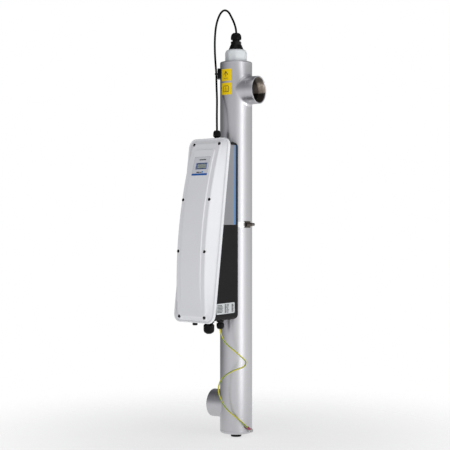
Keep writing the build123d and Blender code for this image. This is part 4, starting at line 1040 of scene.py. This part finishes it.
# ---------------------------------------------------------------- prints on the tube and box
def build_sticker_marks():
    radius = 38.29
    mid = radius * rad(3.0)
    arrow = [
        ((mid - 6.8, 843.6), (mid - 5.4, 842.6), (mid, 850.2), (mid, 852.6)),
        ((mid, 850.2), (mid + 5.4, 842.6), (mid + 6.8, 843.6), (mid, 852.6)),
        (mid - 0.75, 838.6, mid + 0.75, 849.4)]
    bars = [(mid - 6.2, 834.6, mid + 6.2, 835.8), (mid - 6.2, 831.6, mid - 0.8, 833.0),
            (mid + 0.6, 831.6, mid + 6.2, 833.0)]
    # a folded sheet: outline, fold and four short rules
    sheet = stroke([(mid - 7.6, 803.6), (mid - 7.6, 815.0), (mid - 6.0, 817.2),
                    (mid + 6.0, 817.2), (mid + 7.6, 815.0), (mid + 7.6, 803.6)], 1.3)
    sheet += stroke([(mid, 804.4), (mid, 816.8)], 1.0, closed=False)
    for z in (806.4, 809.4):
        sheet += [(mid - 5.6, z, mid - 1.6, z + 0.8), (mid + 1.6, z, mid + 5.6, z + 0.8)]
    for name, shapes in (("sticker_mark_a", arrow + bars), ("sticker_mark_b", sheet)):
        marks(name, on_tube(radius), shapes, "print_dark", "frame",
              thick=0.03, step=3.0)


def build_side_prints():
    marks("side_stripe", on_side("side_label"), [(-62.8, 492.2, -56.9, 674.4)],
          "print_blue", "frame", thick=0.03, step=6.0)
    # columns of short rules with slightly uneven ends
    rules = []
    for k in range(6):
        z = 308.6 - k * 3.1
        rules.append((-128.5, z - 0.85, -110.0 + (k * 7 % 5), z + 0.85))
    for k in range(7):
        z = 309.4 - k * 2.9
        rules.append((-99.8, z - 1.05, -95.0 + (k % 3), z + 1.05))
        rules.append((-92.5, z - 0.75, -83.5 - (k * 5 % 4), z + 0.75))
    for k in range(6):
        z = 309.0 - k * 3.1
        rules.append((-73.0, z - 1.1, -66.3 + (k % 2), z + 1.1))
    marks("rating_rules", on_side("rating_label"), rules, "print_grey", "frame",
          thick=0.03, step=6.0)


# ---------------------------------------------------------------- clamp: tail of the band
def build_band_tail():
    """Free end of the band beyond the worm, rounded off where it starts."""
    inner, outer, half_width, steps = 38.9, 39.5, 6.0, 60
    start, end = 58.0, 78.0             # bearings, degrees
    verts, faces = [], []
    for i in range(steps + 1):
        bearing = start + (end - start) * i / steps
        narrow = 1.0
        if i <= 5:
            narrow = 0.55 + 0.45 * math.sqrt(max(0.0, 1 - ((5 - i) / 5.0) ** 2))
        for radius, z in ((inner, -half_width), (outer, -half_width),
                          (outer, half_width), (inner, half_width)):
            verts.append(around(bearing, radius, BAND_Z + z * narrow))
    for i in range(steps):
        faces += ring_quads(i * 4, i * 4 + 4, 4)
    faces.append((0, 1, 2, 3))
    faces.append(tuple(steps * 4 + k for k in (3, 2, 1, 0)))
    tail = make("band_tail", verts, faces, "band_stainless", "frame", sharp=30)


def build_band_slots():
    radius = 39.54
    low, high = BAND_Z - 4.0, BAND_Z + 4.0
    slots = []
    for k in range(7):
        arc = radius * rad(60.5 + k * 2.6)
        slots.append(((arc - 0.75, low), (arc + 0.15, low), (arc + 0.95, high),
                      (arc + 0.05, high)))
    marks("band_slots", on_tube(radius), slots, "zinc_screw", "frame",
          thick=0.03, step=2.0)


build_plate()
build_display()
build_sticker_marks()
build_side_prints()
build_band_tail()
build_band_slots()


# ---------------------------------------------------------------- stage (metres from here on)
def build_floor():
    """A square of white floor that fades out away from the product."""
    half, z = 6, -0.0095
    mesh = bpy.data.meshes.new("floor")
    mesh.from_pydata([(-half, -half, z), (half, -half, z), (half, half, z), (-half, half, z)],
                     [], [(0, 1, 2, 3)])
    floor = bpy.data.objects.new("floor", mesh)
    bpy.context.scene.collection.objects.link(floor)
    tree, bsdf = new_material("floor_white")
    place = object_coords(tree)
    tone = mottle(tree, noise(tree, place, scale=3.0), (0.43, 0.43, 0.435), (0.47, 0.47, 0.475))
    feed(tree, bsdf, {
        "Base Color": tone,
        "Roughness": 0.7,
        "Specular IOR Level": 0.2,
        "Emission Color": (1, 1, 1, 1),
        "Emission Strength": 0.62})
    distance = add(tree, "VectorMath", {0: place}, out="Value", operation="LENGTH")
    fade = map_range(tree, distance, source=(0.12, 0.9), shape="SMOOTHSTEP")
    clear = add(tree, "BsdfTransparent")
    faded = add(tree, "MixShader", {"Fac": fade, 1: bsdf.outputs["BSDF"], 2: clear})
    output = next(n for n in tree.nodes if n.type == "OUTPUT_MATERIAL")
    feed(tree, output, {"Surface": faded})
    mesh.materials.append(MATERIALS["floor_white"])


# Surroundings: bearing from the camera's side in degrees (positive to its right), brightness
GLOW_BY_BEARING = [
    (-180, 0.50), (-140, 0.24), (-120, 0.20), (-100, 0.38), (-75, 0.62), (-50, 0.80),
    (-25, 0.84), (0, 0.86), (16, 1.00), (27, 1.62), (42, 1.62), (54, 1.15), (75, 0.88),
    (100, 0.82), (130, 0.70), (180, 0.50)]
# position from straight down (0) to straight up (1), colour factor
GLOW_BY_HEIGHT = [
    (0.0, (1, 1, 1)), (0.42, (1, 1, 1)), (0.52, (0.72, 0.72, 0.72)),
    (0.66, (0.36, 0.36, 0.37)), (1.0, (0.32, 0.32, 0.33))]
GLOW_SCALE = 2.0                # halves the table to fit the colour ramp, then restores it
COOL_LEFT = 1.03                # extra blue to the camera's left


def build_world():
    """White to the camera; everything else sees a soft studio."""
    world = bpy.data.worlds.new("studio")
    bpy.context.scene.world = world
    world.use_nodes = True
    tree = world.node_tree
    tree.nodes.clear()
    cos, sin = math.cos(rad(VIEW_BEARING)), math.sin(rad(VIEW_BEARING))
    ray = add(tree, "TexCoord", out="Generated")
    z = add(tree, "SeparateXYZ", {0: ray}, out="Z")
    right, toward = [
        add(tree, "VectorMath", {0: ray, 1: direction}, out="Value", operation="DOT_PRODUCT")
        for direction in ((cos, sin, 0), (sin, -cos, 0))]
    bearing = add(tree, "Math", {0: right, 1: toward}, operation="ARCTAN2")
    turn = map_range(tree, bearing, source=(-math.pi, math.pi))
    stops = []
    for degrees, brightness in GLOW_BY_BEARING:
        value = brightness / GLOW_SCALE
        blue = value * (COOL_LEFT if degrees < 0 else 1.0)
        stops.append(((degrees + 180) / 360, (value, value, blue)))
    sides = colour_ramp(tree, turn, stops)
    heights = colour_ramp(tree, map_range(tree, z, source=(-1, 1)), GLOW_BY_HEIGHT)
    glow = add(tree, "VectorMath", {0: sides, 1: heights}, operation="MULTIPLY")
    plain = add(tree, "Background", {"Color": (1, 1, 1, 1), "Strength": 1.0})
    studio = add(tree, "Background", {"Color": glow, "Strength": GLOW_SCALE / 0.80})
    seen = add(tree, "LightPath", out="Is Camera Ray")
    mixed = add(tree, "MixShader", {"Fac": seen, 1: studio, 2: plain})
    output = tree.nodes.new("ShaderNodeOutputWorld")
    feed(tree, output, {"Surface": mixed})


def place_object(name, data, location):
    ob = bpy.data.objects.new(name, data)
    bpy.context.scene.collection.objects.link(ob)
    ob.location = location
    return ob


def aim(ob, direction):
    ob.rotation_euler = direction.to_track_quat("-Z", "Y").to_euler()


def area_light(name, location, target, width, height, power):
    light = bpy.data.lights.new(name, "AREA")
    light.shape = "RECTANGLE"
    light.size = width
    light.size_y = height
    light.energy = power
    ob = place_object(name, light, location)
    aim(ob, Vector(target) - ob.location)
    ob.visible_camera = False


def build_lights():
    area_light("key_right", around(VIEW_BEARING + 38, 2.2, 0.7), target=(0, 0, 0.48),
               width=0.28, height=1.9, power=2.6)
    area_light("top", around(VIEW_BEARING - 10, 0.9, 2.3), target=(0, 0, 0.7),
               width=1.3, height=1.3, power=4.0)
    spot = bpy.data.lights.new("port_fill", "SPOT")
    spot.energy = 4.4
    spot.spot_size = rad(13)
    spot.spot_blend = 0.6
    spot.shadow_soft_size = 0.05
    ob = place_object("port_fill", spot, around(98, 0.66, 0.50))
    aim(ob, Vector((0.062, 0.011, 0.812)) - ob.location)


def build_camera():
    """Level camera off the box's +X side, moved a little to its own left."""
    bearing = rad(VIEW_BEARING)
    camera = bpy.data.cameras.new("cam")
    right = Vector((math.cos(bearing), math.sin(bearing), 0))
    ob = place_object("cam", camera, Vector(around(VIEW_BEARING, 2.75, 0.491)) - 0.0263 * right)
    aim(ob, Vector((-math.sin(bearing), math.cos(bearing), 0)))
    camera.sensor_width = 36.0
    camera.lens = 92.83
    camera.clip_start = 0.05
    camera.clip_end = 50
    scene = bpy.context.scene
    scene.camera = ob
    scene.view_settings.view_transform = "Standard"
    scene.view_settings.look = "None"


build_floor()
build_world()
build_lights()
build_camera()
